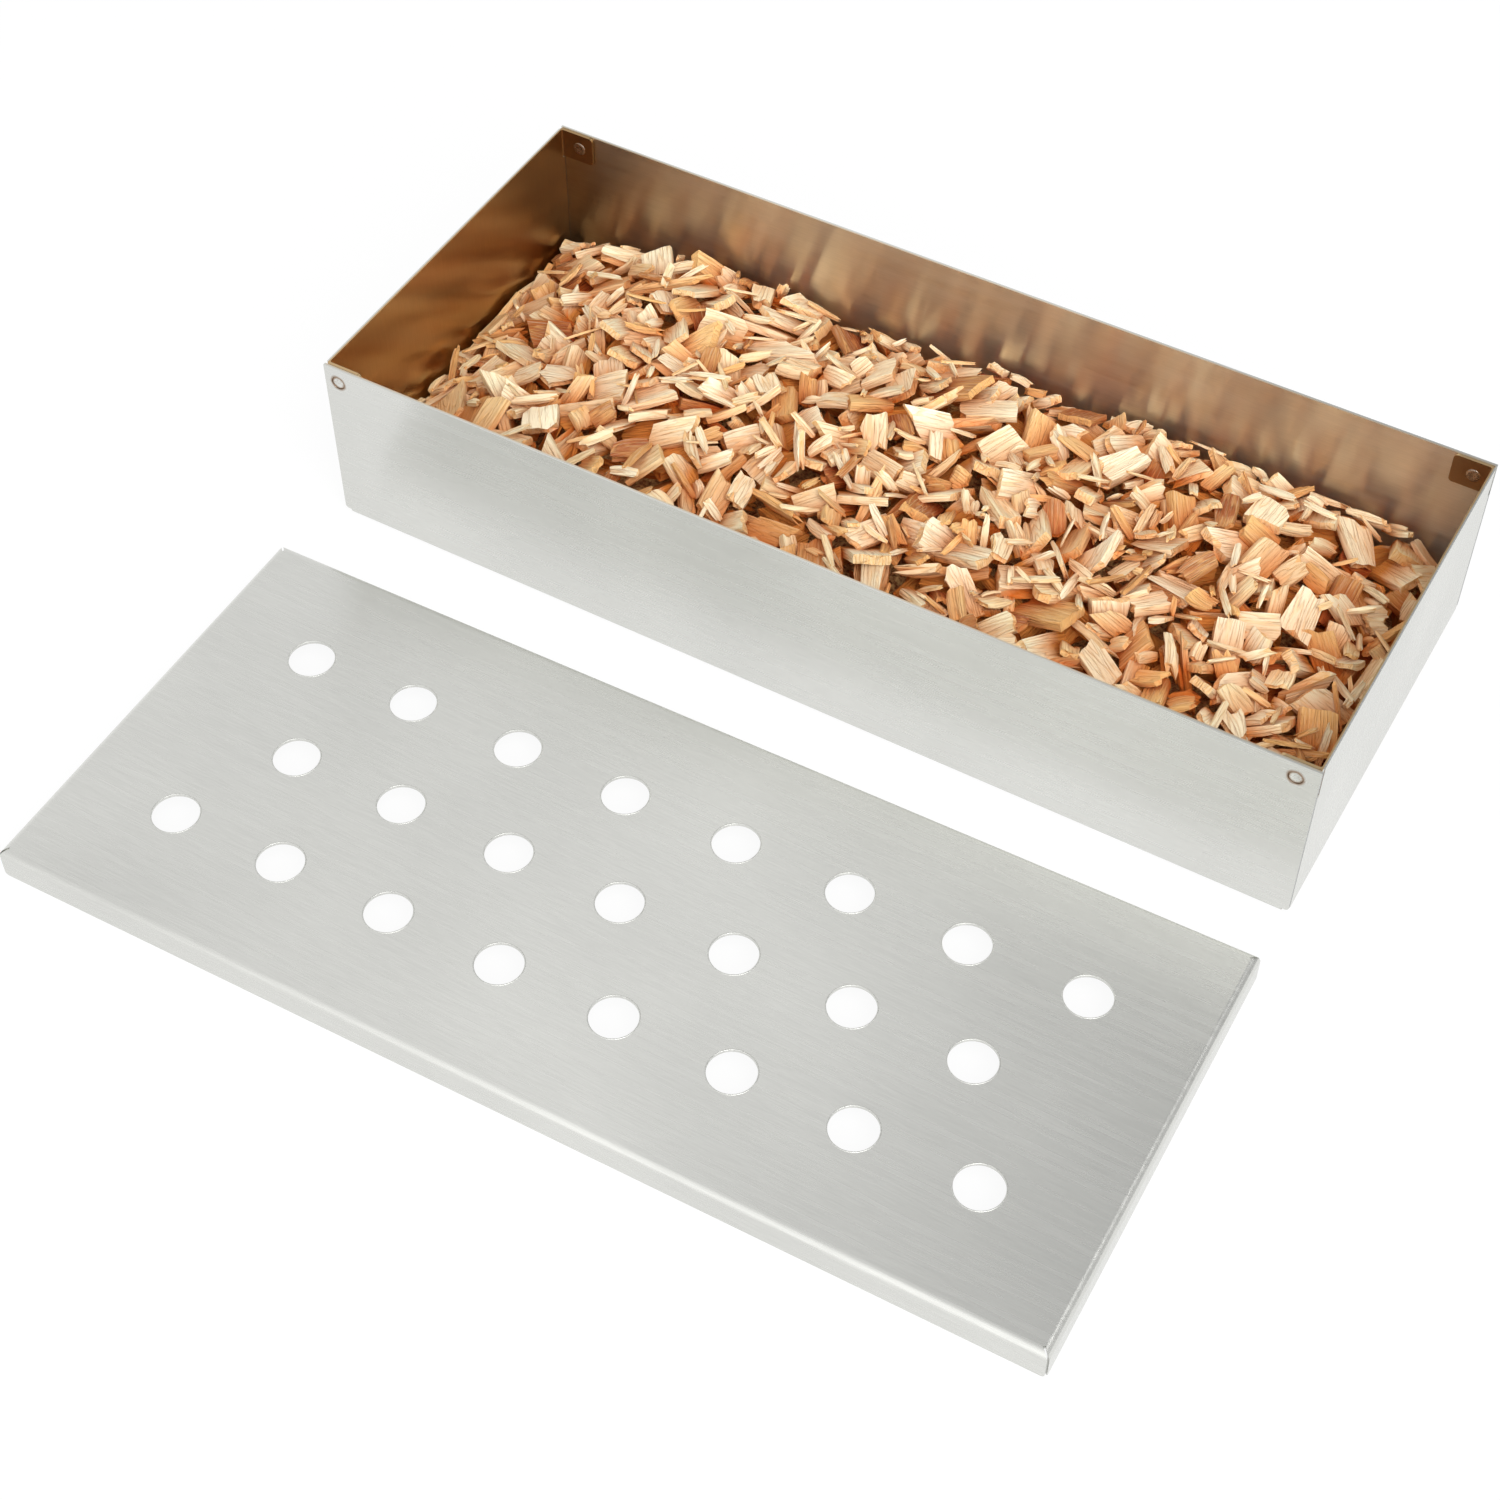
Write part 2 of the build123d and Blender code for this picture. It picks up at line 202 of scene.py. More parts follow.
class ChipProperties(bpy.types.PropertyGroup):
    """Wood chips: their colours, their torn ends and the small stuff among them."""

    cream: bpy.props.FloatVectorProperty(
        name="Cream Wood",
        description="Colour of the palest split sapwood",
        default=(0.98, 0.89, 0.66),
        **colour_kind,
    )
    pale: bpy.props.FloatVectorProperty(
        name="Pale Wood",
        description="Colour of most chips",
        default=(0.96, 0.83, 0.55),
        **colour_kind,
    )
    golden: bpy.props.FloatVectorProperty(
        name="Golden Wood",
        description="Colour of the warmer chips",
        default=(0.90, 0.53, 0.20),
        **colour_kind,
    )
    dark: bpy.props.FloatVectorProperty(
        name="Heartwood",
        description="Colour of the few dark chips, and of deep fibres",
        default=(0.36, 0.10, 0.02),
        **colour_kind,
    )
    bark: bpy.props.FloatVectorProperty(
        name="Bark",
        description="Colour of the chips with inner bark",
        default=(0.50, 0.17, 0.06),
        **colour_kind,
    )
    # Painted shade: the chips turn darker and more orange deep in the heap
    deep: bpy.props.FloatVectorProperty(
        name="Deep Tint",
        description="Tint of the chips deep in the heap, where resin and dust gather",
        default=(0.70, 0.27, 0.07),
        **colour_kind,
    )
    fray: bpy.props.FloatProperty(
        name="Fray",
        description="How far the torn ends of a chip stray",
        unit="LENGTH",
        default=0.8 * mm,
    )
    fibre_width: bpy.props.FloatProperty(
        name="Fibre Width",
        description="Spacing of the wood's fibres",
        unit="LENGTH",
        default=0.46 * mm,
    )
    filling_count: bpy.props.IntProperty(
        name="Filling Chips",
        description="Most chips of each size that fill the gaps",
        min=1,
        default=700,
    )
    splinter_count: bpy.props.IntProperty(
        name="Splinters",
        description="Most splinters that lie in the gaps that are left",
        min=1,
        default=320,
    )
    crust_count: bpy.props.IntProperty(
        name="Pressed Chips",
        description="Chips that lay against the tray's floor and walls",
        min=1,
        default=1600,
    )
    seed: bpy.props.IntProperty(name="Seed", description="Seed of all the scatter", default=7)


class StageProperties(bpy.types.PropertyGroup):
    """Camera, floor and lamps."""

    camera_place: bpy.props.FloatVectorProperty(
        name="Camera",
        description="Where the camera stands",
        subtype="XYZ",
        default=(0.18338, -0.38214, 0.43793),
    )
    camera_target: bpy.props.FloatVectorProperty(
        name="Target",
        description="Point that the camera looks at",
        subtype="XYZ",
        default=(0.0, -0.06395, 0.0),
    )
    camera_roll: bpy.props.FloatProperty(
        name="Roll",
        description="Turn of the picture",
        subtype="ANGLE",
        default=math.radians(-0.126),
    )
    lens: bpy.props.FloatProperty(
        name="Lens",
        description="Focal length on a 36 mm frame",
        subtype="DISTANCE_CAMERA",
        default=65.039,
    )
    key_power: bpy.props.FloatProperty(
        name="Key Lamp",
        description="Power of the high lamp at the front right",
        unit="POWER",
        default=11.5,
    )
    fill_power: bpy.props.FloatProperty(
        name="Fill Lamp",
        description="Power of the low lamp at the right",
        unit="POWER",
        default=5.0,
    )
    sky: bpy.props.FloatProperty(
        name="Studio Walls",
        description="Brightness of the studio round the object",
        min=0,
        default=0.935,
    )
    floor_shadow: bpy.props.FloatProperty(
        name="Floor Shadow",
        description="How much of the object's shadow the floor shows",
        min=0,
        max=1,
        default=0.10,
    )


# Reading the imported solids


def node_triangles(name):
    """Corner places of a node (n, 3) with doubles merged to a micrometre, and its triangles (m, 3)
    as indices into them."""
    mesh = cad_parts[name].data
    places = np.empty(len(mesh.vertices) * 3)
    mesh.vertices.foreach_get("co", places)
    mesh.calc_loop_triangles()
    triangles = np.empty(len(mesh.loop_triangles) * 3, dtype=np.int64)
    mesh.loop_triangles.foreach_get("vertices", triangles)
    places = np.round(places.reshape(-1, 3) / micrometre)
    merged, where = np.unique(places, axis=0, return_inverse=True)
    return merged * micrometre, where.ravel()[triangles].reshape(-1, 3)


def triangle_planes(places, triangles):
    """Corners (m, 3, 3), unit normals (m, 3) and areas (m) of triangles."""
    corners = places[triangles]
    normal = np.cross(corners[:, 1] - corners[:, 0], corners[:, 2] - corners[:, 0])
    area = np.linalg.norm(normal, axis=1) / 2
    return corners, normal / (2 * area[:, None]), area


def node_solids(name):
    """Each separate solid of a node, as (places, triangles)."""
    places, triangles = node_triangles(name)
    label = np.arange(len(places))
    while True:
        lowest = label[triangles].min(axis=1)
        spread = label.copy()
        for column in triangles.T:
            np.minimum.at(spread, column, lowest)
        if (spread == label).all():
            break
        label = spread
    solids = []
    for one in np.unique(label[triangles[:, 0]]):
        own = triangles[label[triangles[:, 0]] == one]
        used, where = np.unique(own, return_inverse=True)
        solids.append((places[used], where.reshape(-1, 3)))
    return solids


class ChipBlank:
    """One packed chip: its middle, its axes along, across and up, the offset from its lower face to
    its upper one, and its outline as points (n, 2) in the plane of its faces, counted from the
    middle."""

    # Least cosine between faces that count as parallel, and most that equal areas may differ
    parallel = 0.9999
    same_area = 0.004

    def __init__(self, places, triangles):
        _, normal, area = triangle_planes(places, triangles)
        turned = normal @ normal.T
        same = turned > self.parallel
        face_area = same @ area
        # The two faces are the opposite sides of equal area
        apart = np.abs(face_area[:, None] - face_area[None, :])
        opposite = (turned < -self.parallel) & (apart < self.same_area * face_area[:, None])
        score = np.where(opposite, face_area[:, None], 0)
        first = int(score.max(axis=1).argmax())
        if normal[first, 2] < 0:
            first = int(score[first].argmax())
        upper = np.unique(triangles[same[first]])
        lower = np.setdiff1d(np.arange(len(places)), upper)
        self.up = normal[first]
        self.offset = places[upper].mean(axis=0) - places[lower].mean(axis=0)
        self.middle = places.mean(axis=0)
        rim = places[upper] - self.offset / 2 - self.middle
        any_way = rim[0] / np.linalg.norm(rim[0])
        angle = np.arctan2(rim @ np.cross(self.up, any_way), rim @ any_way)
        rim = rim[np.argsort(angle)]
        edges = np.roll(rim, -1, axis=0) - rim
        longest = edges[np.linalg.norm(edges, axis=1).argmax()]
        self.along = longest / np.linalg.norm(longest)
        self.across = np.cross(self.up, self.along)
        self.outline = np.column_stack([rim @ self.along, rim @ self.across])


# Meshes


def new_piece(name, places, faces, material, smooth=True):
    """An object at the origin from arrays: places (n, 3) and faces as index rows."""
    mesh = bpy.data.meshes.new(name)
    mesh.from_pydata(places.tolist(), [], faces)
    mesh.materials.append(material)
    mesh.polygons.foreach_set("use_smooth", [smooth] * len(mesh.polygons))
    piece = bpy.data.objects.new(name, mesh)
    bpy.context.scene.collection.objects.link(piece)
    return piece


def tube_faces(rows, around):
    """Quads of a grid of rows by around points, closed the long way round."""
    row, column = np.meshgrid(np.arange(rows - 1), np.arange(around), indexing="ij")
    after = (column + 1) % around
    low, high = row * around, (row + 1) * around
    quads = np.stack([low + column, low + after, high + after, high + column], axis=-1)
    return quads.reshape(-1, 4)


def turned_surface(radius, height, around):
    """Points of a surface of revolution: (r cos t, r sin t, h) for each row (r, h) and angle t."""
    turn = np.arange(around) * 2 * math.pi / around
    flat = np.stack([np.cos(turn), np.sin(turn)], axis=-1)
    rows = np.asarray(radius)[:, None, None] * flat[None]
    tall = np.broadcast_to(np.asarray(height)[:, None, None], (len(radius), around, 1))
    return np.concatenate([rows, tall], axis=-1).reshape(-1, 3)


# Chips


class Charge(NamedTuple):
    """A number of chips. middle, along, across and offset (from a chip's lower face to its upper
    one) are (n, 3). sides, low and high are (n, columns): each column's place across the grain, and
    where the chip starts and ends along the grain there."""

    middle: np.ndarray
    along: np.ndarray
    across: np.ndarray
    offset: np.ndarray
    sides: np.ndarray
    low: np.ndarray
    high: np.ndarray


class Habit(NamedTuple):
    """How a kind of chip splits, in shares: depth of the grooves along its faces, what is left of
    its width and of its thickness at its ends, how much it bows, and how far its ends tear."""

    groove: float
    end_width: float
    end_thickness: float
    bow: float
    tear: float


block_habit = Habit(groove=0.12, end_width=0.98, end_thickness=0.95, bow=0.08, tear=0.6)
flake_habit = Habit(groove=0.14, end_width=0.94, end_thickness=0.80, bow=0.30, tear=0.9)
sliver_habit = Habit(groove=0.14, end_width=0.80, end_thickness=0.75, bow=0.40, tear=1.0)
bark_habit = Habit(groove=0.20, end_width=0.96, end_thickness=0.90, bow=0.15, tear=0.7)

# A chip's section across its grain, as shares of its half width and half thickness: over the upper
# face, round one side, back under the lower face and round the other side
section_across_shares = np.array(
    [-0.96, -0.5, 0.0, 0.5, 0.96, 1.0, 0.96, 0.5, 0.0, -0.5, -0.96, -1.0]
)
section_up_shares = np.array([1.0, 1.0, 1.0, 1.0, 1.0, 0.1, -1.0, -1.0, -1.0, -1.0, -1.0, -0.1])
# The strand that each of them belongs to, which tears as one
section_strand = np.array([0, 1, 2, 3, 4, 4, 4, 3, 2, 1, 0, 0])
# How raw each face round the section is: 0 on the split upper face, 1 on the torn ends, and 0.3 on
# the sides and underside, partly torn grain and partly painted shade
section_raw_and_shade_shares = np.array([0.0, 0.0, 0.0, 0.0, 0.3, 0.3, 0.3, 0.3, 0.3, 0.3, 0.3, 0.3])
# Where the sections stand along the grain, as shares of the chip's length
station_shares = np.array([0.0, 0.34, 0.67, 1.0])
columns = len(section_across_shares)
stations = len(station_shares)

# What chips of every habit share. In half thicknesses: the deepest groove, and how rough a face is
deepest_groove, face_roughness = 0.5, 0.05
# Depth of the grooves along a chip's edges, as a share of that on its faces
edge_groove = 0.5
# In lengths: the longest tear, and how far the stations stray
longest_tear, station_stray = 0.28, 0.04
# In frays: shape and scale of the strands' tears, mean of the single fibres' tears, and how far
# the middle of an end strays
strand_shape, strand_scale, fibre_tear, end_stray = 0.45, 1.3, 0.2, 0.4
# Least share of its width and thickness that an end keeps, and how far these shares vary
least_end, end_spread = 0.2, (0.5, 1.5)
# How far a chip twists from its middle to its ends, in half thicknesses
twist_spread = 0.10
# Edges sharper than this stay sharp when a chip is shaded smooth
sharp_angle = math.radians(24)


def chip_places(charge, random, habit, fray):
    """The section is carried along the grain, column by column:
    P = middle + a * along + b * across + h * offset, where a runs from low to high less what the
    end has torn away, b is the column's side drawn in towards the ends, and h is the column's
    height less its groove, drawn in the same way, plus a bow that is greatest halfway and a twist
    that grows with the distance from there. Returns the places, (n, points, 3), and the (a, b, h)
    of each."""
    count = len(charge.middle)
    face = np.abs(section_up_shares) == 1.0
    inside = np.abs(section_across_shares) < 0.9
    groove = random.exponential(habit.groove, (count, columns))
    groove = np.minimum(groove * np.where(inside, 1.0, edge_groove) * face, deepest_groove)
    strand = random.gamma(strand_shape, strand_scale, (count, 2, 5))[:, :, section_strand]
    tear = fray * habit.tear * (strand + random.exponential(fibre_tear, (count, 2, columns)))
    tear = np.minimum(tear, longest_tear * (charge.high - charge.low)[:, None])
    low, high = charge.low + tear[:, 0], charge.high - tear[:, 1]
    stray = random.normal(0, station_stray, (count, stations)) * (station_shares % 1 > 0)
    part = (station_shares + stray)[:, :, None]
    a = low[:, None] * (1 - part) + high[:, None] * part
    ends = (2 * station_shares - 1)[None, :, None] ** 4
    middle_side = charge.sides.mean(axis=1)[:, None, None]
    spare_width = (1 - habit.end_width) * random.uniform(*end_spread, (count, stations, 1))
    spare_height = (1 - habit.end_thickness) * random.uniform(*end_spread, (count, stations, 1))
    width = np.clip(1 - ends * spare_width, least_end, 1)
    height = np.clip(1 - ends * spare_height, least_end, 1)
    b = middle_side + (charge.sides[:, None] - middle_side) * width
    rough = random.normal(0, face_roughness, (count, stations, columns)) * face
    h = section_up_shares * (1 - groove[:, None] - np.abs(rough)) * height / 2
    bow = random.normal(0, habit.bow, (count, 1, 1)) * (0.5 - (2 * part - 1) ** 2)
    twist = random.normal(0, twist_spread, (count, 1, 1)) * (2 * part - 1) * section_across_shares
    h = h + (bow + twist) / 2
    ring = np.stack([a, b, h], axis=-1)
    poles = ring[:, [0, -1]].mean(axis=2)
    poles[:, :, 0] += random.normal(0, end_stray * fray, (count, 2)) * habit.tear
    local = np.concatenate([ring.reshape(count, -1, 3), poles], axis=1)
    places = charge.middle[:, None]
    for k, axis in enumerate((charge.along, charge.across, charge.offset)):
        places = places + local[..., k, None] * axis[:, None]
    return places, local


def chip_charts(local, thickness):
    """UV of each corner of each face of the chips. Round a chip, U is the place along the grain and
    V the way round the section. On its ends, U is three times the height and V the place across."""
    count = len(local)
    ring = local[:, : stations * columns].reshape(count, stations, columns, 3)
    metres = np.stack([np.ones(count), thickness], axis=-1)[:, None]
    section = ring[:, stations // 2, :, 1:] * metres
    step = np.linalg.norm(np.roll(section, -1, axis=1) - section, axis=-1)
    round_it = np.concatenate([np.zeros((count, 1)), np.cumsum(step, axis=1)], axis=1)
    row, column = np.meshgrid(np.arange(stations - 1), np.arange(columns), indexing="ij")
    row, column = row.ravel()[:, None], column.ravel()[:, None]
    rows = row + np.array([1, 1, 0, 0])
    u = ring[:, rows, (column + np.array([0, 1, 1, 0])) % columns, 0]
    v = round_it[:, column + np.array([0, 1, 1, 0])]
    sides = np.stack([u, v], axis=-1).reshape(count, -1, 2)
    ends = np.stack([local[..., 2] * thickness[:, None] * 3, local[..., 1]], axis=-1)
    return np.concatenate([sides, ends[:, cap_faces().ravel()]], axis=1)


def cap_faces():
    """Triangles that close the two ends of one chip."""
    first = np.arange(columns)
    after = (first + 1) % columns
    last = (stations - 1) * columns
    low_pole = np.full(columns, stations * columns)
    low = np.column_stack([first, after, low_pole])
    high = np.column_stack([last + after, last + first, low_pole + 1])
    return np.vstack([low, high])


def chip_piece(name, charge, random, habit, fray, material, heap):
    """All chips of a charge as one object, with the grain's chart as UV map. The tone attribute has
    a number for each chip's colour, how raw the face is (partly painted shade on sides and
    underside), a number for each chip's brightness, and how deep in the heap each corner is, for
    painted shade."""
    places, local = chip_places(charge, random, habit, fray)
    count, points = places.shape[:2]
    sides = tube_faces(stations, columns)[:, ::-1]
    caps = cap_faces()
    faces = []
    for start in range(0, count * points, points):
        faces += (sides + start).tolist() + (caps + start).tolist()
    piece = new_piece(name, places.reshape(-1, 3), faces, material)
    mesh = piece.data
    thickness = np.linalg.norm(charge.offset, axis=1)
    shift = random.uniform(0, 1, (count, 1, 2))
    layer = mesh.uv_layers.new(name="grain")
    layer.data.foreach_set("uv", (chip_charts(local, thickness) + shift).ravel())
    # Raw grain on the torn ends, and in part painted shade on the sides and underside
    raw_and_shade = np.tile(np.repeat(section_raw_and_shade_shares, 4), stations - 1)
    raw_and_shade = np.concatenate([raw_and_shade, np.ones(caps.size)])
    numbers = random.uniform(0, 1, (count, 1, 2))
    tones = np.ones((count, len(raw_and_shade), 4))
    tones[..., 0] = numbers[..., 0]
    tones[..., 1] = raw_and_shade
    tones[..., 2] = numbers[..., 1]
    corners = np.concatenate([sides.ravel(), caps.ravel()])
    # How deep each corner lies, for the painted shade deep in the heap
    tones[..., 3] = heap.deep(places[:, corners])
    tone = mesh.color_attributes.new(name="tone", type="FLOAT_COLOR", domain="CORNER")
    tone.data.foreach_set("color", tones.ravel())
    mesh.set_sharp_from_angle(angle=sharp_angle)
    mesh.update()
    return piece


def reach_along(outline, sides):
    """Lowest and highest place along the grain of a convex outline (m, 2), at places across it."""
    following = np.roll(outline, -1, axis=0)
    span = following[:, 1] - outline[:, 1]
    span = np.where(np.abs(span) < 1e-9, 1e-9, span)
    share = (sides[:, None] - outline[:, 1]) / span
    hit = (share > -1e-6) & (share < 1 + 1e-6)
    along = outline[:, 0] + share * (following[:, 0] - outline[:, 0])
    return np.where(hit, along, np.inf).min(axis=1), np.where(hit, along, -np.inf).max(axis=1)


def charge_of_blanks(blanks):
    """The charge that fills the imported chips."""
    sides, low, high = [], [], []
    for blank in blanks:
        bounds = blank.outline[:, 1].min(), blank.outline[:, 1].max()
        half = (bounds[1] - bounds[0]) / 2
        own = (bounds[0] + bounds[1]) / 2 + half * section_across_shares * 0.995
        start, end = reach_along(blank.outline, own)
        sides.append(own)
        low.append(start)
        high.append(end)
    names = ("middle", "along", "across", "offset")
    frames = [np.array([getattr(blank, name) for blank in blanks]) for name in names]
    return Charge(*frames, np.array(sides), np.array(low), np.array(high))


def charge_of_cut(middle, along, up, size, skew):
    """A charge of straight chips of (length, width, thickness), whose ends run askew by skew."""
    sides = section_across_shares * size[:, 1:2] / 2
    half = size[:, :1] / 2
    lean = sides * skew[:, None]
    across, offset = np.cross(up, along), up * size[:, 2:]
    return Charge(middle, along, across, offset, sides, lean - half, lean + half)


class TopMap:
    """How high the heap stands, seen from above, on a grid of cells."""

    cell = 0.5 * mm
    # How far the level to fill to is evened out
    aim_reach = 6 * mm
    deep_reach = 5.5 * mm
    side_reach = 3.0 * mm
    # Least share of its depth that a place at the heap's sides keeps
    side_share = 0.25
    # Most that the normal of an upright plane may rise or fall
    upright = 0.02
    # A chip lies no steeper than this slope, on this percentile of what is under it
    steepest = 0.8
    bearing = 80
    # Share of the chips that lie on their edge, and the fewest cells that one covers
    edgewise = 0.3
    fewest_cells = 5
    # Tries between two looks for gaps
    tries = 40
    # How far askew the chips' ends are cut, as a slope
    skew = 0.35

    def __init__(self, low, high, planes):
        """Starts as the top of a convex solid: the lowest of its upper planes, (n, 4) as a, b, c, d
        with z = (d - a x - b y) / c."""
        self.low, self.floor = np.array(low[:2]), low[2]
        counts = np.floor((np.array(high[:2]) - self.low) / self.cell).astype(int)
        self.high = self.low + counts * self.cell
        x, y = (self.low[k] + (np.arange(counts[k]) + 0.5) * self.cell for k in (0, 1))
        self.x, self.y = np.meshgrid(x, y, indexing="ij")
        self.height = lowest_plane(planes, self.x, self.y)
        self.aim = self.height

    def window(self, places):
        """The cells round places (m, 3) seen from above, as slices."""
        first = np.floor((places[:, :2].min(axis=0) - self.low) / self.cell).astype(int)
        last = np.ceil((places[:, :2].max(axis=0) - self.low) / self.cell).astype(int)
        return tuple(slice(max(start, 0), max(end, 0)) for start, end in zip(first, last))

    def raise_to(self, window, mask, level):
        """Raise the cells of a window that are in the mask to a level, where they stand lower."""
        own = self.height[window]
        self.height[window] = np.where(mask, np.maximum(own, level), own)

    def under(self, corners):
        """Cells inside a convex outline seen from above, as a window and a mask on it."""
        window = self.window(corners)
        x, y = self.x[window], self.y[window]
        turns = [
            (q[0] - p[0]) * (y - p[1]) - (q[1] - p[1]) * (x - p[0])
            for p, q in zip(corners, np.roll(corners, -1, axis=0))
        ]
        turns = np.array(turns)
        return window, (turns >= 0).all(axis=0) | (turns <= 0).all(axis=0)

    def cover(self, corners, up):
        """Raise the map to the plane of a face with these corners."""
        window, mask = self.under(corners)
        point = corners.mean(axis=0)
        away = (self.x[window] - point[0]) * up[0] + (self.y[window] - point[1]) * up[1]
        self.raise_to(window, mask, point[2] - away / up[2])

    def cover_solid(self, places, triangles):
        """Raise the map to the top of a convex solid, where that stands over its underside."""
        corners, normal, _ = triangle_planes(places, triangles)
        level = (normal * corners[:, 0]).sum(axis=1)
        window = self.window(places)
        x, y = self.x[window], self.y[window]
        left = level[:, None, None] - normal[:, 0, None, None] * x - normal[:, 1, None, None] * y
        rise = normal[:, 2]
        upward, downward = rise > self.upright, rise < -self.upright
        top = (left[upward] / rise[upward, None, None]).min(axis=0)
        bottom = (left[downward] / rise[downward, None, None]).max(axis=0)
        inside = (top >= bottom) & (left[~upward & ~downward] >= 0).all(axis=0)
        self.raise_to(window, inside, top)

    def set_aim(self):
        """The level to fill to: the tallest within aim_reach, then the average within aim_reach."""
        span = int(self.aim_reach / self.cell)
        own = tuple(slice(0, length) for length in self.height.shape)
        aim = self.height
        for gather in (np.max, np.mean):
            for axis in (0, 1):
                ends = [(span, span) if k == axis else (0, 0) for k in (0, 1)]
                padded = np.pad(aim, ends, mode="edge")
                moved = [np.roll(padded, -k, axis)[own] for k in range(2 * span + 1)]
                aim = gather(moved, axis=0)
        self.aim = aim

    def deep(self, places):
        """How deep places (..., 3) lie in the heap, for the painted shade there: 0 at the aim, and
        1 at deep_reach under it, but less within side_reach of the heap's sides and floor."""
        cells = np.floor((places[..., :2] - self.low) / self.cell).astype(int)
        x, y = (np.clip(cells[..., k], 0, self.height.shape[k] - 1) for k in (0, 1))
        sides = np.minimum(places[..., :2] - self.low, self.high - places[..., :2]).min(axis=-1)
        sides = np.minimum(sides, places[..., 2] - self.floor)
        down = np.clip((self.aim[x, y] - places[..., 2]) / self.deep_reach, 0, 1)
        return down * np.clip(sides / self.side_reach, self.side_share, 1)

    def settle(self, random, most, sizes, spread, shortfall, proud):
        """Drop chips into the places that stand lower than the aim by more than shortfall. Each
        lies on the plane through what is under it, and is left out where it would stand over the
        aim by more than proud. sizes is (length, width, thickness), each times a number drawn from
        1 - spread to 1 + spread."""
        laid = []
        for tried in range(most * 3):
            if tried == 0 or tried % self.tries == self.tries - 1:
                gaps = np.argwhere(self.aim - self.height > shortfall)
            if len(laid) >= most or not len(gaps):
                break
            spot = tuple(gaps[random.integers(len(gaps))])
            size = sizes * random.uniform(1 - spread, 1 + spread, 3)
            if random.uniform() < self.edgewise:
                size = size[[0, 2, 1]]
            turn = random.uniform(0, math.pi)
            way = np.array([math.cos(turn), math.sin(turn)])
            side = np.array([-way[1], way[0]])
            centre = np.array([self.x[spot], self.y[spot]])
            reach = [(-0.5, -0.5), (0.5, -0.5), (0.5, 0.5), (-0.5, 0.5)]
            flat = np.array([centre + p * size[0] * way + q * size[1] * side for p, q in reach])
            if (flat < self.low).any() or (flat > self.high).any():
                continue
            window, mask = self.under(flat)
            if mask.sum() < self.fewest_cells:
                continue
            x, y, z = (array[window][mask] for array in (self.x, self.y, self.height))
            x, y = x - centre[0], y - centre[1]
            slope = np.linalg.lstsq(np.column_stack([x, y, np.ones(len(x))]), z, rcond=None)[0][:2]
            slope = slope * min(1.0, self.steepest / max(np.linalg.norm(slope), 1e-9))
            ground = np.percentile(z - (slope[0] * x + slope[1] * y), self.bearing)
            up = np.array([-slope[0], -slope[1], 1.0])
            up /= np.linalg.norm(up)
            top = ground + size[2] / up[2]
            if top > self.aim[spot] + proud:
                continue
            self.cover(np.column_stack([flat, top + (flat - centre) @ slope]), up)
            run = np.array([way[0], way[1], way @ slope])
            middle = np.array([*centre, ground]) + up * size[2] / 2
            laid.append((middle, run / np.linalg.norm(run), up, size))
        if not laid:
            raise RuntimeError("no gap in the heap could be filled")
        cut = (np.array(column) for column in zip(*laid))
        return charge_of_cut(*cut, random.normal(0, self.skew, len(laid)))


def heap_of_solids():
    """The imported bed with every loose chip's solid on it."""
    low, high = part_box("packed_chips")
    heap = TopMap(low, high, upper_planes("packed_chips"))
    for node in ("block_chips", "flake_chips", "sliver_chips", "bark_chips"):
        for solid in node_solids(node):
            heap.cover_solid(*solid)
    heap.set_aim()
    return heap


def pressed_charge(count, random, low, high, roof):
    """Chips that lay flat against the tray: their outer faces lie just inside the five faces of the
    box from low to high, shared out by area, and no higher than roof(x, y) on the upright ones."""
    reach = high - low
    wall_height = roof(np.array([low[0], high[0]]), np.zeros(2)).mean() - low[2]
    long_wall, end_wall = reach[0] * wall_height, reach[1] * wall_height
    areas = np.array([reach[0] * reach[1], long_wall, long_wall, end_wall, end_wall])
    face = random.choice(5, count, p=areas / areas.sum())
    outward = np.array([(0, 0, -1), (0, -1, 0), (0, 1, 0), (-1, 0, 0), (1, 0, 0)])[face] * 1.0
    level = np.array([(1, 0, 0), (1, 0, 0), (1, 0, 0), (0, 1, 0), (0, 1, 0)])[face] * 1.0
    upright = face > 0
    size = np.array([8.6, 5.0, 1.7]) * mm * random.uniform(0.7, 1.3, (count, 3))
    # On the walls the chips are slimmer, and lie nearly level
    wall_slimness = 0.72
    size[upright, 1] *= wall_slimness
    tilt, any_way = random.normal(0, 0.35, count), random.uniform(0, math.pi, count)
    turn = np.where(upright, tilt, any_way)[:, None]
    along = np.cos(turn) * level + np.sin(turn) * np.cross(outward, level)
    torn_room = 0.9 * mm
    span = np.abs(along) * size[:, :1] + np.abs(np.cross(outward, along)) * size[:, 1:2] + torn_room
    middle = low + span / 2 + random.uniform(0, 1, (count, 3)) * np.maximum(reach - span, 0)
    tall = roof(middle[:, 0], middle[:, 1]) - low[2] - span[:, 2]
    middle[:, 2] = low[2] + span[:, 2] / 2 + random.uniform(0, 1, count) * np.maximum(tall, 0)
    sunk = size[:, 2] / 2 + random.uniform(0.1 * mm, 0.8 * mm, count)
    flush = np.where(outward > 0, high, low)
    middle = np.where(outward == 0, middle, flush) - outward * sunk[:, None]
    return charge_of_cut(middle, along, outward, size, random.normal(0, 0.3, count))


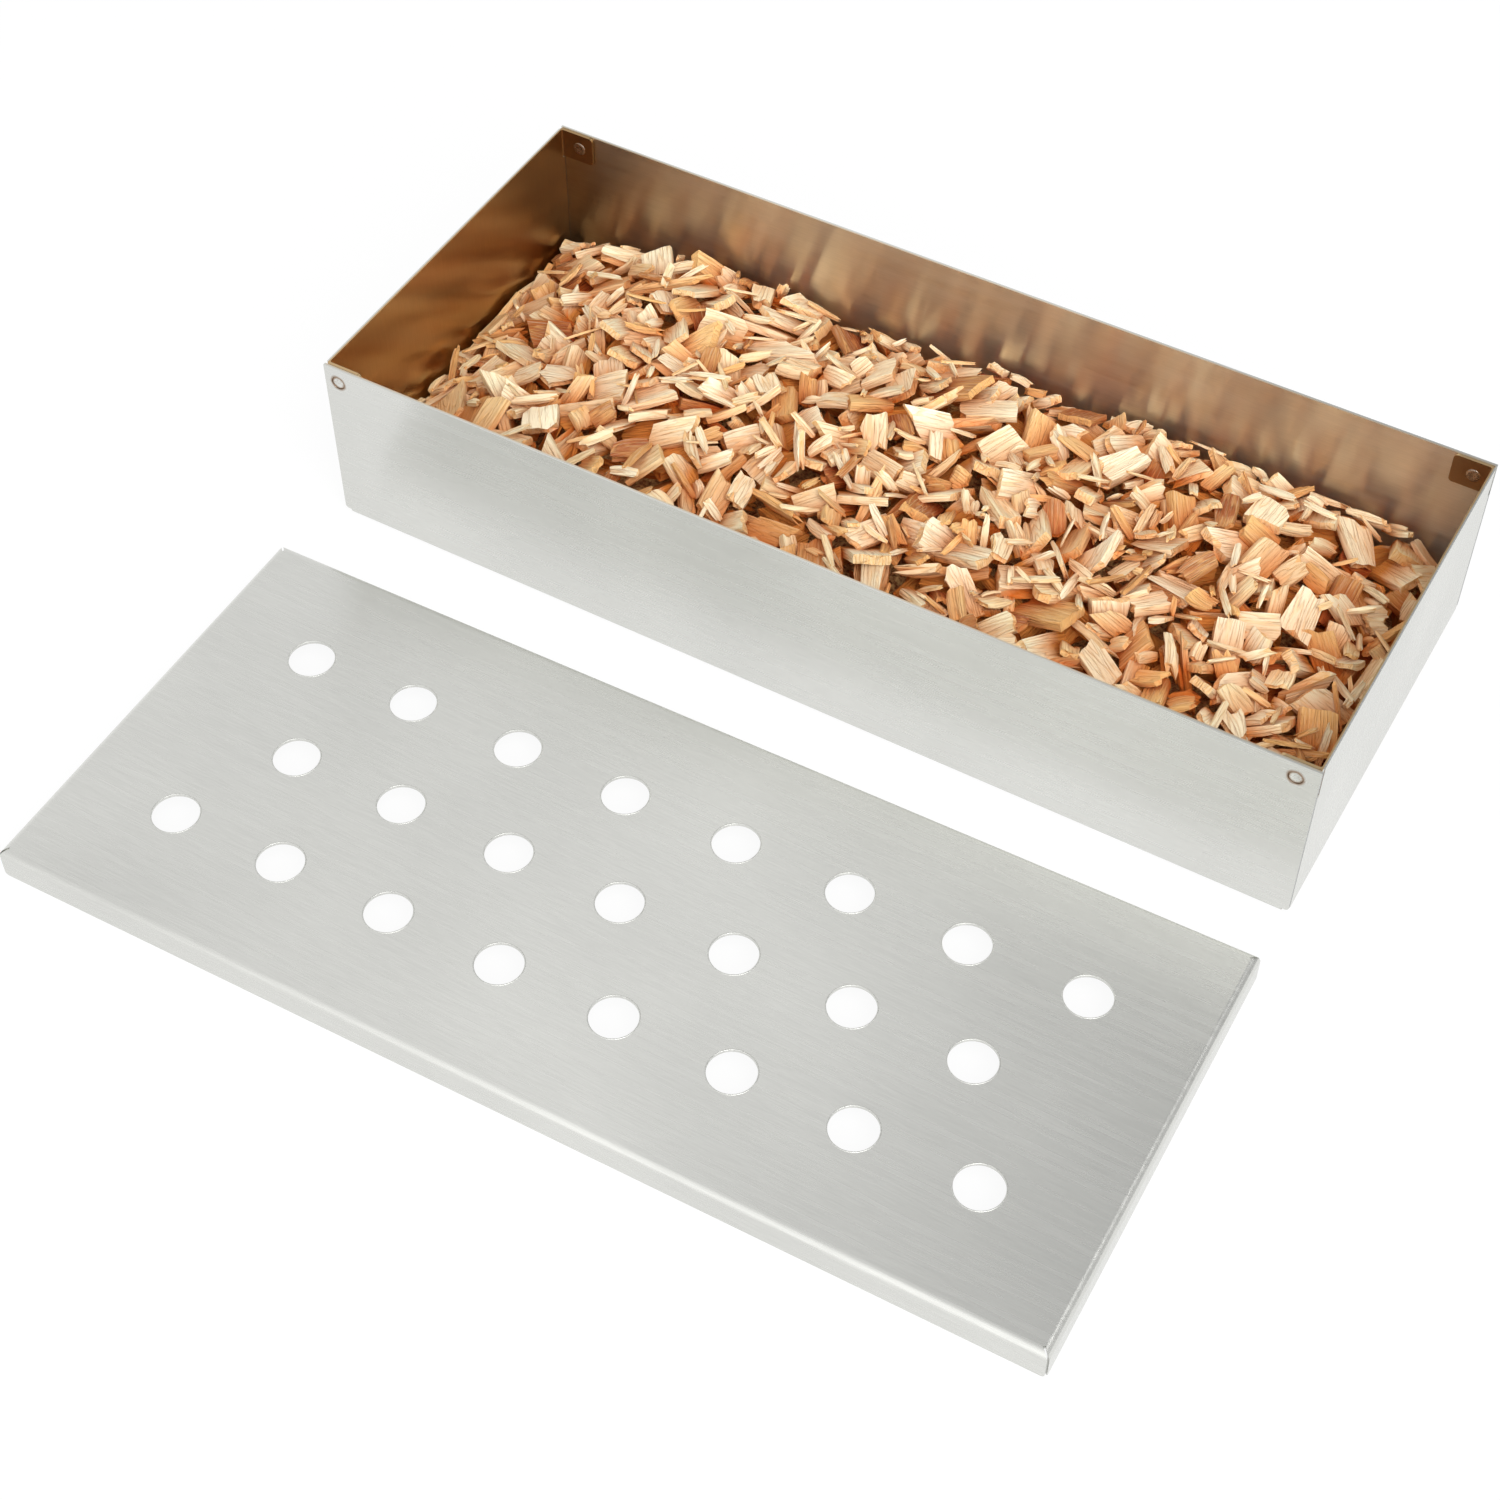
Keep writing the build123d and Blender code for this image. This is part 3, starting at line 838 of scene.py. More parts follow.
def bed_surface(low, high, roof, random, inset, side_inset, rough=1.0 * mm):
    """A closed bed: over a grid of x and y, its top is the roof less inset and a random depth up to
    rough, and its underside is flat. It stands side_inset back from the box's sides and floor.
    Returns places and faces."""
    counts = (120, 50)
    lines = (np.linspace(low[k] + side_inset, high[k] - side_inset, counts[k]) for k in (0, 1))
    x, y = np.meshgrid(*lines, indexing="ij")
    depth = inset + random.uniform(0, rough, x.shape)
    top = np.stack([x, y, roof(x, y) - depth], axis=-1).reshape(-1, 3)
    bottom = np.stack([x, y, np.full(x.shape, low[2] + side_inset)], axis=-1).reshape(-1, 3)
    cell = np.arange(top.shape[0]).reshape(counts)
    quads = np.stack([cell[:-1, :-1], cell[1:, :-1], cell[1:, 1:], cell[:-1, 1:]], axis=-1)
    quads = quads.reshape(-1, 4)
    under = quads[:, ::-1] + len(top)
    rim = np.concatenate([cell[:-1, 0], cell[-1, :-1], cell[:0:-1, -1], cell[0, :0:-1]])
    after = np.roll(rim, -1)
    walls = np.column_stack([rim, rim + len(top), after + len(top), after])
    return np.vstack([top, bottom]), quads.tolist() + under.tolist() + walls.tolist()


def upper_planes(name):
    """The planes of a convex node that face up, (n, 4) as a, b, c, d with a x + b y + c z = d."""
    corners, normal, _ = triangle_planes(*node_triangles(name))
    planes = np.column_stack([normal, (normal * corners[:, 0]).sum(axis=1)])
    least_rise = 0.05
    return np.unique(np.round(planes[normal[:, 2] > least_rise], 9), axis=0)


def lowest_plane(planes, x, y):
    """Height over (x, y) of the lowest of the planes, z = (d - a x - b y) / c."""
    return np.min([(d - a * x - b * y) / c for a, b, c, d in planes], axis=0)


# Shader node groups


def put(tree, kind, **settings):
    """A new node. settings are its own properties."""
    node = tree.nodes.new(kind)
    for label, value in settings.items():
        setattr(node, label, value)
    return node


def feed(tree, source, target):
    """Set a socket to a value, or link another socket to it."""
    if isinstance(source, bpy.types.NodeSocket):
        tree.links.new(source, target)
    else:
        target.default_value = source


def feed_all(tree, node, **inputs):
    """Feed a node's inputs by their names, in which spaces are written as _."""
    for label, value in inputs.items():
        feed(tree, value, node.inputs[label.replace("_", " ")])


def new_group(name, outputs, **inputs):
    """An empty shader node group that puts out numbers. inputs are the defaults of its own inputs,
    each a number or a vector, with spaces in their names written as _."""
    group = bpy.data.node_groups.new(name, "ShaderNodeTree")
    for label, default in inputs.items():
        kind = "NodeSocketVector" if isinstance(default, tuple) else "NodeSocketFloat"
        label = label.replace("_", " ")
        socket = group.interface.new_socket(label, in_out="INPUT", socket_type=kind)
        socket.default_value = default
    for label in outputs:
        group.interface.new_socket(label, in_out="OUTPUT", socket_type="NodeSocketFloat")
    return group, put(group, "NodeGroupInput").outputs, put(group, "NodeGroupOutput")


def place_group(tree, group, **inputs):
    """Outputs of a group placed in a material, with its own values."""
    node = put(tree, "ShaderNodeGroup", node_tree=group)
    feed_all(tree, node, **inputs)
    return node.outputs


def maths(tree, operation, *values):
    """Output of a Math node."""
    node = put(tree, "ShaderNodeMath", operation=operation)
    for value, socket in zip(values, node.inputs):
        feed(tree, value, socket)
    return node.outputs[0]


def product(tree, *values):
    """Numbers multiplied together."""
    result = values[0]
    for value in values[1:]:
        result = maths(tree, "MULTIPLY", result, value)
    return result


def beyond(tree, value, limit):
    """1 where a number is further from 0 than limit."""
    return maths(tree, "GREATER_THAN", maths(tree, "ABSOLUTE", value), limit)


def within(tree, value, limit):
    """1 where a number is nearer to 0 than limit."""
    return maths(tree, "LESS_THAN", maths(tree, "ABSOLUTE", value), limit)


def vector_maths(tree, operation, *values):
    """Output of a Vector Math node, its number where the operation gives one."""
    node = put(tree, "ShaderNodeVectorMath", operation=operation)
    for value, socket in zip(values, node.inputs):
        feed(tree, value, socket)
    gives_number = operation in ("LENGTH", "DISTANCE")
    return node.outputs["Value" if gives_number else "Vector"]


def scaled(tree, vector, factor):
    """A vector or colour times a number."""
    result = vector_maths(tree, "SCALE", vector)
    feed(tree, factor, result.node.inputs["Scale"])
    return result


def object_place(tree):
    """Place on a piece, in its own coordinates."""
    return put(tree, "ShaderNodeTexCoord").outputs["Object"]


def face_normal(tree):
    """The way that a flat face looks."""
    return put(tree, "ShaderNodeNewGeometry").outputs["True Normal"]


def axes(tree, vector):
    """A vector's parts, by the names X, Y and Z."""
    node = put(tree, "ShaderNodeSeparateXYZ")
    feed(tree, vector, node.inputs[0])
    return node.outputs


def vector_of(tree, **parts):
    """The vector with these parts, by the names X, Y and Z."""
    node = put(tree, "ShaderNodeCombineXYZ")
    feed_all(tree, node, **parts)
    return node.outputs[0]


def noise(tree, vector, scale, detail=2.0, roughness=0.5):
    """Value of a noise texture, about 0.5 on average."""
    node = put(tree, "ShaderNodeTexNoise")
    feed_all(tree, node, Vector=vector, Scale=scale, Detail=detail, Roughness=roughness)
    return node.outputs["Fac"]


def remap(tree, value, low, high, to_low=0.0, to_high=1.0):
    """value moved from low..high to to_low..to_high, held at the ends."""
    node = put(tree, "ShaderNodeMapRange")
    for amount, socket in zip((value, low, high, to_low, to_high), node.inputs):
        feed(tree, amount, socket)
    return node.outputs["Result"]


def from_noise(tree, value, low, high):
    """A noise's value moved from 0.3..0.7, where most of it lies, to low..high."""
    return remap(tree, value, 0.3, 0.7, low, high)


def blend_colour(tree, factor, first, second, mode="MIX"):
    """first and second mixed by factor."""
    node = put(tree, "ShaderNodeMix", data_type="RGBA", blend_type=mode)
    colours = [socket for socket in node.inputs if socket.type == "RGBA"]
    feed(tree, factor, node.inputs[0])
    for colour, socket in zip((first, second), colours):
        feed(tree, colour if isinstance(colour, bpy.types.NodeSocket) else (*colour, 1.0), socket)
    return [socket for socket in node.outputs if socket.type == "RGBA"][0]


@cache
def brushed_grain_group():
    """Brush marks of a folded blank: along X, and upright where Folded is 1, as the marks run once
    the ends and their tabs are folded up. Gives fine marks, longer streaks and slow waves."""
    group, given, result = new_group(
        "Brushed Grain",
        ("Marks", "Streaks", "Waves"),
        Folded=0.0,
        Streak_Length=5.5 * mm,
        Streak_Width=0.25 * mm,
    )
    place = object_place(group)
    long_rate = maths(group, "DIVIDE", 1.0, given["Streak Length"])
    wide_rate = maths(group, "DIVIDE", 1.0, given["Streak Width"])
    change = product(group, maths(group, "SUBTRACT", wide_rate, long_rate), given["Folded"])
    rate = vector_of(
        group,
        X=maths(group, "ADD", long_rate, change),
        Y=wide_rate,
        Z=maths(group, "SUBTRACT", wide_rate, change),
    )
    stretched = vector_maths(group, "MULTIPLY", place, rate)
    feed_all(
        group,
        result,
        Marks=noise(group, stretched, 1.0, 2.0, 0.6),
        Streaks=noise(group, stretched, 0.16),
        Waves=noise(group, place, 22.0, 1.0),
    )
    return group


@cache
def heat_ring_group():
    """Mask of the ring that the heat of one weld left: it is strongest at Radius, and fades over
    Width on the outside and over a third of it inside. Distances across the sheet count double, so
    that the ring shows only on the side where its centre is. Noise moves it in and out a little."""
    group, given, result = new_group(
        "Heat Ring", ("Ring",), Centre=(0.0, 0.0, 0.0), Radius=1.6 * mm, Width=0.6 * mm
    )
    place = object_place(group)
    apart = vector_maths(group, "SUBTRACT", place, given["Centre"])
    apart = vector_maths(group, "MULTIPLY", apart, (1.0, 2.0, 1.0))
    distance = vector_maths(group, "LENGTH", apart)
    wobble = product(group, noise(group, place, 900.0), 0.5 * mm)
    distance = maths(group, "ADD", distance, maths(group, "SUBTRACT", wobble, 0.25 * mm))
    past = maths(group, "SUBTRACT", distance, given["Radius"])
    outside = remap(group, past, 0.0, given["Width"], 1.0, 0.0)
    inside = remap(group, past, product(group, given["Width"], -0.33), 0.0)
    feed_all(group, result, Ring=product(group, outside, inside))
    return group


@cache
def wood_grain_group():
    """Fibres along the chip's own chart, thin growth lines that wander in them, and blotches."""
    group, given, result = new_group(
        "Wood Grain", ("Fibres", "Lines", "Blotches", "Height"), Fibre_Width=0.46 * mm
    )
    chart = put(group, "ShaderNodeUVMap", uv_map="grain").outputs["UV"]
    chart = scaled(group, chart, maths(group, "DIVIDE", 1.0, given["Fibre Width"]))

    def stretched_noise(along, across, *settings):
        place = vector_maths(group, "MULTIPLY", chart, (along, across, 0.0))
        return noise(group, place, 1.0, *settings)

    fibres = stretched_noise(0.07, 1.0, 3.0, 0.65)
    growth = stretched_noise(0.02, 0.16, 1.0)
    blotches = stretched_noise(0.07, 0.12, 3.0, 0.6)
    wander = maths(group, "ADD", product(group, growth, 52.0), product(group, fibres, 3.0))
    lines = remap(group, maths(group, "SINE", wander), 0.35, 1.0)
    height = maths(group, "SUBTRACT", fibres, product(group, lines, 0.35))
    height = maths(group, "ADD", height, product(group, blotches, 0.7))
    feed_all(group, result, Fibres=fibres, Lines=lines, Blotches=blotches, Height=height)
    return group


# Materials


def empty_tree(owner):
    """The node tree of a material or a world, with nothing in it."""
    owner.use_nodes = True
    owner.node_tree.nodes.clear()
    return owner.node_tree


def new_material(name):
    """A material whose tree holds only a Principled BSDF and its output."""
    material = bpy.data.materials.new(name)
    tree = empty_tree(material)
    shader = put(tree, "ShaderNodeBsdfPrincipled")
    feed_all(tree, put(tree, "ShaderNodeOutputMaterial"), Surface=shader.outputs[0])
    return material, tree, shader


def add_bump(tree, shader, height, distance):
    """Give a shader relief: a height times a distance."""
    bump = put(tree, "ShaderNodeBump")
    feed_all(tree, bump, Strength=1.0, Distance=distance, Height=height)
    feed_all(tree, shader, Normal=bump.outputs["Normal"])


def tray_corners():
    """The tray's lowest and highest corner, as plain numbers."""
    return [[float(value) for value in corner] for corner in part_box("tray")]


def weld_centres():
    """Middle of the outer print of each spot weld."""
    centres = []
    for places, _ in node_solids("spot_welds"):
        low, high = places.min(axis=0), places.max(axis=0)
        centre = (low + high) / 2
        centre[1] = high[1] if centre[1] > 0 else low[1]
        centres.append(tuple(centre))
    return centres


def weld_rings(tree, radius, width):
    """Mask of the heat rings round all the welds."""
    rings = 0.0
    for centre in weld_centres():
        ring = place_group(tree, heat_ring_group(), Centre=centre, Radius=radius, Width=width)
        rings = maths(tree, "MAXIMUM", rings, ring["Ring"])
    return rings


# Part of a unit normal along an axis, past which a face counts as facing that way
facing_share = 0.7
# Room that keeps a mask's limit clear of the face that it tells from the next
mask_room = 0.05 * mm


def fold_mask(tree, tabs):
    """1 on what is folded up from the ends of a blank: the walls that face along X and, with tabs,
    the corner tabs that lie inside the long walls. Then 1 on the flats of the tabs alone."""
    normal = axes(tree, face_normal(tree))
    mask = beyond(tree, normal["X"], facing_share)
    if not tabs:
        return mask, 0.0
    sheet = bpy.context.scene.smoker_sheet
    _, high = tray_corners()
    place = axes(tree, object_place(tree))
    near_end = beyond(tree, place["X"], high[0] - sheet.tab_width)
    near_rim = maths(tree, "GREATER_THAN", place["Z"], high[2] - sheet.tab_height)
    behind_wall = within(tree, place["Y"], high[1] - sheet.wall - mask_room)
    tab = product(tree, near_end, near_rim, behind_wall)
    flat = beyond(tree, normal["Y"], facing_share)
    return maths(tree, "MAXIMUM", mask, tab), product(tree, tab, flat)


def inside_mask(tree):
    """1 on the tray's inner faces."""
    half_sheet = 0.5 * bpy.context.scene.smoker_sheet.wall
    _, high = tray_corners()
    place = axes(tree, object_place(tree))
    over_floor = maths(tree, "GREATER_THAN", place["Z"], half_sheet)
    between_walls = (within(tree, place[k], high[k] - half_sheet) for k in (0, 1))
    return product(tree, over_floor, *between_walls)


def corner_shade_mask(tree, whole, gone):
    """Mask of the painted shade round the tray's back left corner: 1 within whole of it seen from
    above, falling to 0 at gone.
    """
    low, high = tray_corners()
    level = vector_maths(tree, "MULTIPLY", object_place(tree), (1.0, 1.0, 0.0))
    apart = vector_maths(tree, "DISTANCE", level, (low[0], high[1], 0.0))
    return remap(tree, apart, gone, whole)


def seam_shade_edges(tree):
    """1 on the upright sheared edges of the long walls, which show at the tray's corners. The
    seams' shade is painted there.
    """
    _, high = tray_corners()
    place, normal = axes(tree, object_place(tree)), axes(tree, face_normal(tree))
    in_wall = beyond(tree, place["Y"], high[1] - bpy.context.scene.smoker_sheet.wall - mask_room)
    return product(tree, in_wall, beyond(tree, normal["X"], 0.9))


def brushed_steel(name, tray):
    """Brushed stainless sheet: long fine marks, streaks of duller and brighter metal, and slow
    waves. It blurs what it mirrors far more across its marks than along them. The tray has painted
    shade and a painted warm reflection of the chips inside, and heat stains at its welds."""
    sheet, weld = bpy.context.scene.smoker_sheet, bpy.context.scene.smoker_weld
    material, tree, shader = new_material(name)
    folded, tab = fold_mask(tree, tray)
    grain = place_group(
        tree,
        brushed_grain_group(),
        Folded=folded,
        Streak_Length=sheet.streak_length,
        Streak_Width=sheet.streak_width,
    )
    light = product(
        tree,
        from_noise(tree, grain["Marks"], 0.955, 1.035),
        from_noise(tree, grain["Streaks"], 0.985, 1.012),
        from_noise(tree, grain["Waves"], 0.96, 1.03),
    )
    colour = scaled(tree, tuple(sheet.colour), light)
    roughness = from_noise(tree, grain["Streaks"], sheet.roughness - 0.02, sheet.roughness + 0.02)
    if tray:
        inside = inside_mask(tree)
        # Painted shade round the back left corner, where the heap is low
        corner = product(tree, inside, corner_shade_mask(tree, 15 * mm, 58 * mm))
        rings = weld_rings(tree, 1.6 * mm, weld.ring_width)
        for factor, tint, mode in (
            # Painted shade and a painted warm reflection of the chips on the whole inside
            (inside, sheet.inner_shade_tint, "MULTIPLY"),
            # Further painted shade on the end walls' inner faces
            (product(tree, inside, folded), sheet.end_wall_shade_tint, "MULTIPLY"),
            # Painted shade round the back left corner
            (corner, sheet.corner_shade_tint, "MULTIPLY"),
            # Painted shade of the seams at the tray's corners, on the sheared edges
            (product(tree, seam_shade_edges(tree), 0.6), sheet.seam_shade_tint, "MIX"),
            (product(tree, tab, 0.8), weld.tab_tint, "MIX"),
            (product(tree, rings, 0.85), weld.tint, "MIX"),
        ):
            colour = blend_colour(tree, factor, colour, tint, mode)
        for mask, rougher in ((inside, 0.05), (rings, 0.12)):
            roughness = maths(tree, "ADD", roughness, product(tree, mask, rougher))
    # The blur runs across the marks: it is at right angles to them and to the sheet. The 1.02 and
    # 0.01 keep the marks' direction clear of the sheet's normal
    marks_way = vector_of(
        tree, X=maths(tree, "SUBTRACT", 1.02, folded), Z=maths(tree, "ADD", folded, 0.01)
    )
    across = vector_maths(tree, "CROSS_PRODUCT", marks_way, face_normal(tree))
    feed_all(tree, shader, Base_Color=colour, Roughness=roughness, Metallic=1.0)
    feed_all(tree, shader, Anisotropic=0.92, Tangent=across)
    depth = product(tree, grain["Marks"], sheet.streak_depth)
    depth = maths(tree, "ADD", depth, product(tree, grain["Waves"], sheet.wave_depth))
    add_bump(tree, shader, depth, 1.0)
    return material


def rolled_steel():
    """Steel that the punch has rolled over and burnished: even, fine-pitted and unbrushed."""
    material, tree, shader = new_material("rolled_steel")
    pits = noise(tree, object_place(tree), 3200.0)
    steel = tuple(bpy.context.scene.smoker_sheet.colour)
    colour = scaled(tree, steel, from_noise(tree, pits, 0.8, 1.0))
    roughness = from_noise(tree, pits, 0.38, 0.5)
    feed_all(tree, shader, Base_Color=colour, Roughness=roughness, Metallic=1.0)
    return material


def weld_metal():
    """Fused metal of a spot weld: bright in the middle of the electrode's print, burnt brown at its
    rim, and browner still on its pip inside the tray."""
    sheet, weld = bpy.context.scene.smoker_sheet, bpy.context.scene.smoker_weld
    material, tree, shader = new_material("weld_metal")
    place = object_place(tree)
    pits = noise(tree, place, 2600.0, 3.0)
    _, high = tray_corners()
    inside = within(tree, axes(tree, place)["Y"], high[1] - 0.5 * sheet.wall)
    colour = sheet.colour
    for factor, tint in (
        (product(tree, weld_rings(tree, 1.4 * mm, 1.2 * mm), 0.9), weld.tint),
        (remap(tree, pits, 0.5, 0.8), weld.pit_tint),
        (product(tree, inside, 0.75), weld.tab_tint),
    ):
        colour = blend_colour(tree, factor, colour, tint)
    roughness = from_noise(tree, pits, 0.22, 0.42)
    feed_all(tree, shader, Base_Color=colour, Roughness=roughness, Metallic=1.0)
    add_bump(tree, shader, pits, 0.02 * mm)
    return material


def split_wood(name, tone_stops):
    """Raw split wood, with painted shade deep in the heap and partly on the sides and undersides. A
    chip's own tone picks from tone_stops, as (share of the chips, colour).
    """
    chips = bpy.context.scene.smoker_chips
    material, tree, shader = new_material(name)
    grain = place_group(tree, wood_grain_group(), Fibre_Width=chips.fibre_width)
    fibres = grain["Fibres"]
    tone = put(tree, "ShaderNodeVertexColor", layer_name="tone")
    own = put(tree, "ShaderNodeSeparateColor")
    feed(tree, tone.outputs["Color"], own.inputs[0])
    number, raw_and_shade, brightness = own.outputs
    ramp = put(tree, "ShaderNodeValToRGB")
    stops = ramp.color_ramp.elements
    while len(stops) < len(tone_stops):
        stops.new(0.5)
    for stop, (share, colour) in zip(stops, tone_stops):
        stop.position = share
        stop.color = (*colour, 1.0)
    feed_all(tree, ramp, Fac=number)
    stain = remap(tree, brightness, 0.6, 0.0, 0.1, 0.7)
    stain = product(tree, remap(tree, grain["Blotches"], 0.46, 0.72), stain)
    colour = ramp.outputs["Color"]
    for factor, tint, mode in (
        (remap(tree, fibres, 0.5, 0.3, 0.0, 0.35), chips.cream, "MIX"),
        (stain, chips.golden, "MIX"),
        (product(tree, grain["Lines"], 0.38), chips.golden, "MIX"),
        (remap(tree, fibres, 0.55, 0.74, 0.0, 0.7), chips.dark, "MIX"),
        # Golden on the torn ends, and in part painted shade on the sides and underside
        (product(tree, raw_and_shade, remap(tree, fibres, 0.3, 0.65, 0.35, 0.9)), chips.golden, "MIX"),
        # Painted shade: darker and more orange deep in the heap
        (remap(tree, tone.outputs["Alpha"], 0.08, 0.85), chips.deep, "MULTIPLY"),
    ):
        colour = blend_colour(tree, factor, colour, tint, mode)
    colour = scaled(tree, colour, remap(tree, brightness, 0.0, 1.0, 0.9, 1.05))
    roughness = from_noise(tree, fibres, 0.6, 0.85)
    feed_all(tree, shader, Base_Color=colour, Roughness=roughness, Specular_IOR_Level=0.3)
    add_bump(tree, shader, grain["Height"], 0.45 * mm)
    return material


def bed_crumbs():
    """A bed of crumbs of wood between the chips, with their relief; its dark colour is painted
    shade of the deep gaps.
    """
    chips = bpy.context.scene.smoker_chips
    material, tree, shader = new_material("bed_crumbs")
    crumbs = noise(tree, object_place(tree), 900.0, 4.0, 0.7)
    # Painted shade: dark to golden, as the gaps deep between the chips look
    colour = blend_colour(tree, remap(tree, crumbs, 0.4, 0.65), chips.dark, chips.golden)
    feed_all(tree, shader, Base_Color=colour, Roughness=from_noise(tree, crumbs, 0.95, 0.75))
    add_bump(tree, shader, crumbs, 0.8 * mm)
    return material


# Operators


class SMOKER_OT_sheets(bpy.types.Operator):
    """Give the tray and the lid their brushed finish"""

    bl_idname = "smoker.sheets"
    bl_label = "Brush the Sheets"

    def execute(self, context):
        for node in ("tray", "lid"):
            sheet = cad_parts[node]
            sheet.data.materials.clear()
            sheet.data.materials.append(brushed_steel(f"brushed_{node}", node == "tray"))
        return {"FINISHED"}


class SMOKER_OT_hole_rims(bpy.types.Operator):
    """Roll the upper edge of each punched smoke hole"""

    bl_idname = "smoker.hole_rims"
    bl_label = "Roll the Hole Rims"

    around = 64
    # How far a rim reaches into the solid's hole, past its facets
    lap = 0.06 * mm
    # The holes' walls are the upright faces that lie further than this from the lid's sides
    side_room = 6 * mm
    # Most that the normal of an upright face may rise or fall
    upright = 0.01
    # Corners of one hole lie nearer to each other than this
    hole_reach = 12 * mm

    def execute(self, context):
        rims = context.scene.smoker_lid
        centres, radius, top = self.holes()
        width, height = rims.rim_width, rims.rim_height
        # Section: from the sheet up over the lip, and down inside the hole, past the solid's facets
        turn = np.linspace(0, math.pi, 7)
        section_r = radius - self.lap + (1 + np.cos(turn)) * (width + self.lap) / 2
        section_h = np.sin(turn) * height
        section_r = np.concatenate([section_r, [section_r[-1], section_r[0]]])
        section_h = np.concatenate([section_h, [-2 * height, -2 * height]])
        ring = turned_surface(section_r, section_h, self.around)
        faces = tube_faces(len(section_r) + 1, self.around) % len(ring)
        middles = np.column_stack([centres, np.full(len(centres), top)])
        places = (ring[None] + middles[:, None]).reshape(-1, 3)
        starts = np.arange(len(centres))[:, None, None] * len(ring)
        all_faces = (faces[None] + starts).reshape(-1, 4).tolist()
        piece = new_piece("hole_rims", places, all_faces, rolled_steel())
        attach(piece, "lid")
        return {"FINISHED"}

    def holes(self):
        """Centre (x, y) of each hole in the lid's top, their radius, and the top's height."""
        places, triangles = node_triangles("lid")
        corners, normal, _ = triangle_planes(places, triangles)
        low, high = (np.array(corner)[:2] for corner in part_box("lid"))
        flat = corners[:, :, :2]
        inner = flat.min(axis=1) > low + self.side_room
        inner &= flat.max(axis=1) < high - self.side_room
        walls = inner.all(axis=1) & (np.abs(normal[:, 2]) < self.upright)
        rim = places[np.unique(triangles[walls])]
        top = places[:, 2].max()
        rim = rim[rim[:, 2] > top - 0.01 * mm][:, :2]
        centres, radii = [], []
        while len(rim):
            near = np.linalg.norm(rim - rim[0], axis=1) < self.hole_reach
            middle = (rim[near].min(axis=0) + rim[near].max(axis=0)) / 2
            centres.append(middle)
            radii.append(np.linalg.norm(rim[near] - middle, axis=1).mean())
            rim = rim[~near]
        if len(centres) < 2:
            raise RuntimeError("no holes found in the lid")
        return np.array(centres), float(np.mean(radii)), float(top)


class SMOKER_OT_welds(bpy.types.Operator):
    """Shape the spot welds: a ridged print outside and a low pip inside"""

    bl_idname = "smoker.welds"
    bl_label = "Shape the Welds"

    around = 32
    # Radius shares from the middle out
    radius_shares = np.array([0.02, 0.25, 0.45, 0.62, 0.74, 0.84, 0.93, 1.0])
    # Depth of the print in ridge heights, and height of the pip in pip heights
    print_shares = np.array([0.72, 0.68, 0.56, 0.32, 0.0, -0.36, 0.08, 0.8])
    pip_shares = np.array([0.35, 0.5, 0.85, 1.0, 0.9, 0.6, 0.2, 0.0])

    def execute(self, context):
        weld = context.scene.smoker_weld
        rows = 2 * len(self.radius_shares)
        grid = tube_faces(rows, self.around)
        first = np.arange(self.around)
        last = first + (rows - 1) * self.around
        places, faces = [], []
        for solid, _ in node_solids("spot_welds"):
            low, high = solid.min(axis=0), solid.max(axis=0)
            middle = (low + high) / 2
            outward = math.copysign(1.0, middle[1])
            radii = self.radius_shares * (high[0] - low[0]) / 2
            half = (high[1] - low[1]) / 2
            outer = half - self.print_shares * weld.ridge
            inner = -half + (1 - self.pip_shares) * weld.pip
            heights = np.concatenate([outer, inner[::-1]])
            shape = turned_surface(np.concatenate([radii, radii[::-1]]), heights, self.around)
            shape = np.column_stack([shape[:, 0], shape[:, 2] * outward, shape[:, 1]]) + middle
            # A weld on the front wall is mirrored, so its faces are wound the other way round
            turned = slice(None, None, int(outward))
            start = len(places) * rows * self.around
            faces += (grid[:, turned] + start).tolist()
            faces += [(cap[turned] + start).tolist() for cap in (first[::-1], last)]
            places.append(shape)
        piece = new_piece("weld_nuggets", np.vstack(places), faces, weld_metal())
        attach(piece, "tray")
        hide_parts("spot_welds")
        return {"FINISHED"}


class SMOKER_OT_chips(bpy.types.Operator):
    """Split every loose chip, each in the place of its solid"""

    bl_idname = "smoker.chips"
    bl_label = "Split the Chips"

    def execute(self, context):
        chips = context.scene.smoker_chips
        random = np.random.default_rng(chips.seed)
        cream, pale, golden = chips.cream, chips.pale, chips.golden
        dark, bark = chips.dark, chips.bark
        # Habit, slot and tones, as (share of the chips, colour), of each node's chips
        kinds = {
            "block_chips": (
                block_habit,
                "pale_wood",
                ((0, dark), (0.02, bark), (0.05, golden), (0.14, pale), (0.5, cream), (1, pale)),
            ),
            "flake_chips": (
                flake_habit,
                "pale_wood",
                ((0, golden), (0.2, pale), (0.7, cream), (1, pale)),
            ),
            "sliver_chips": (
                sliver_habit,
                "golden_wood",
                ((0, dark), (0.1, golden), (0.4, pale), (1, cream)),
            ),
            "bark_chips": (
                bark_habit,
                "bark_wood",
                ((0, dark), (0.25, bark), (0.75, bark), (1, golden)),
            ),
        }
        heap = heap_of_solids()
        for node, (habit, slot, stops) in kinds.items():
            charge = charge_of_blanks([ChipBlank(*solid) for solid in node_solids(node)])
            wood = split_wood(f"wood_{node}", stops)
            piece = chip_piece(f"split_{node}", charge, random, habit, chips.fray, wood, heap)
            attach(piece, "wood_chips")
            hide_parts(node)
        return {"FINISHED"}


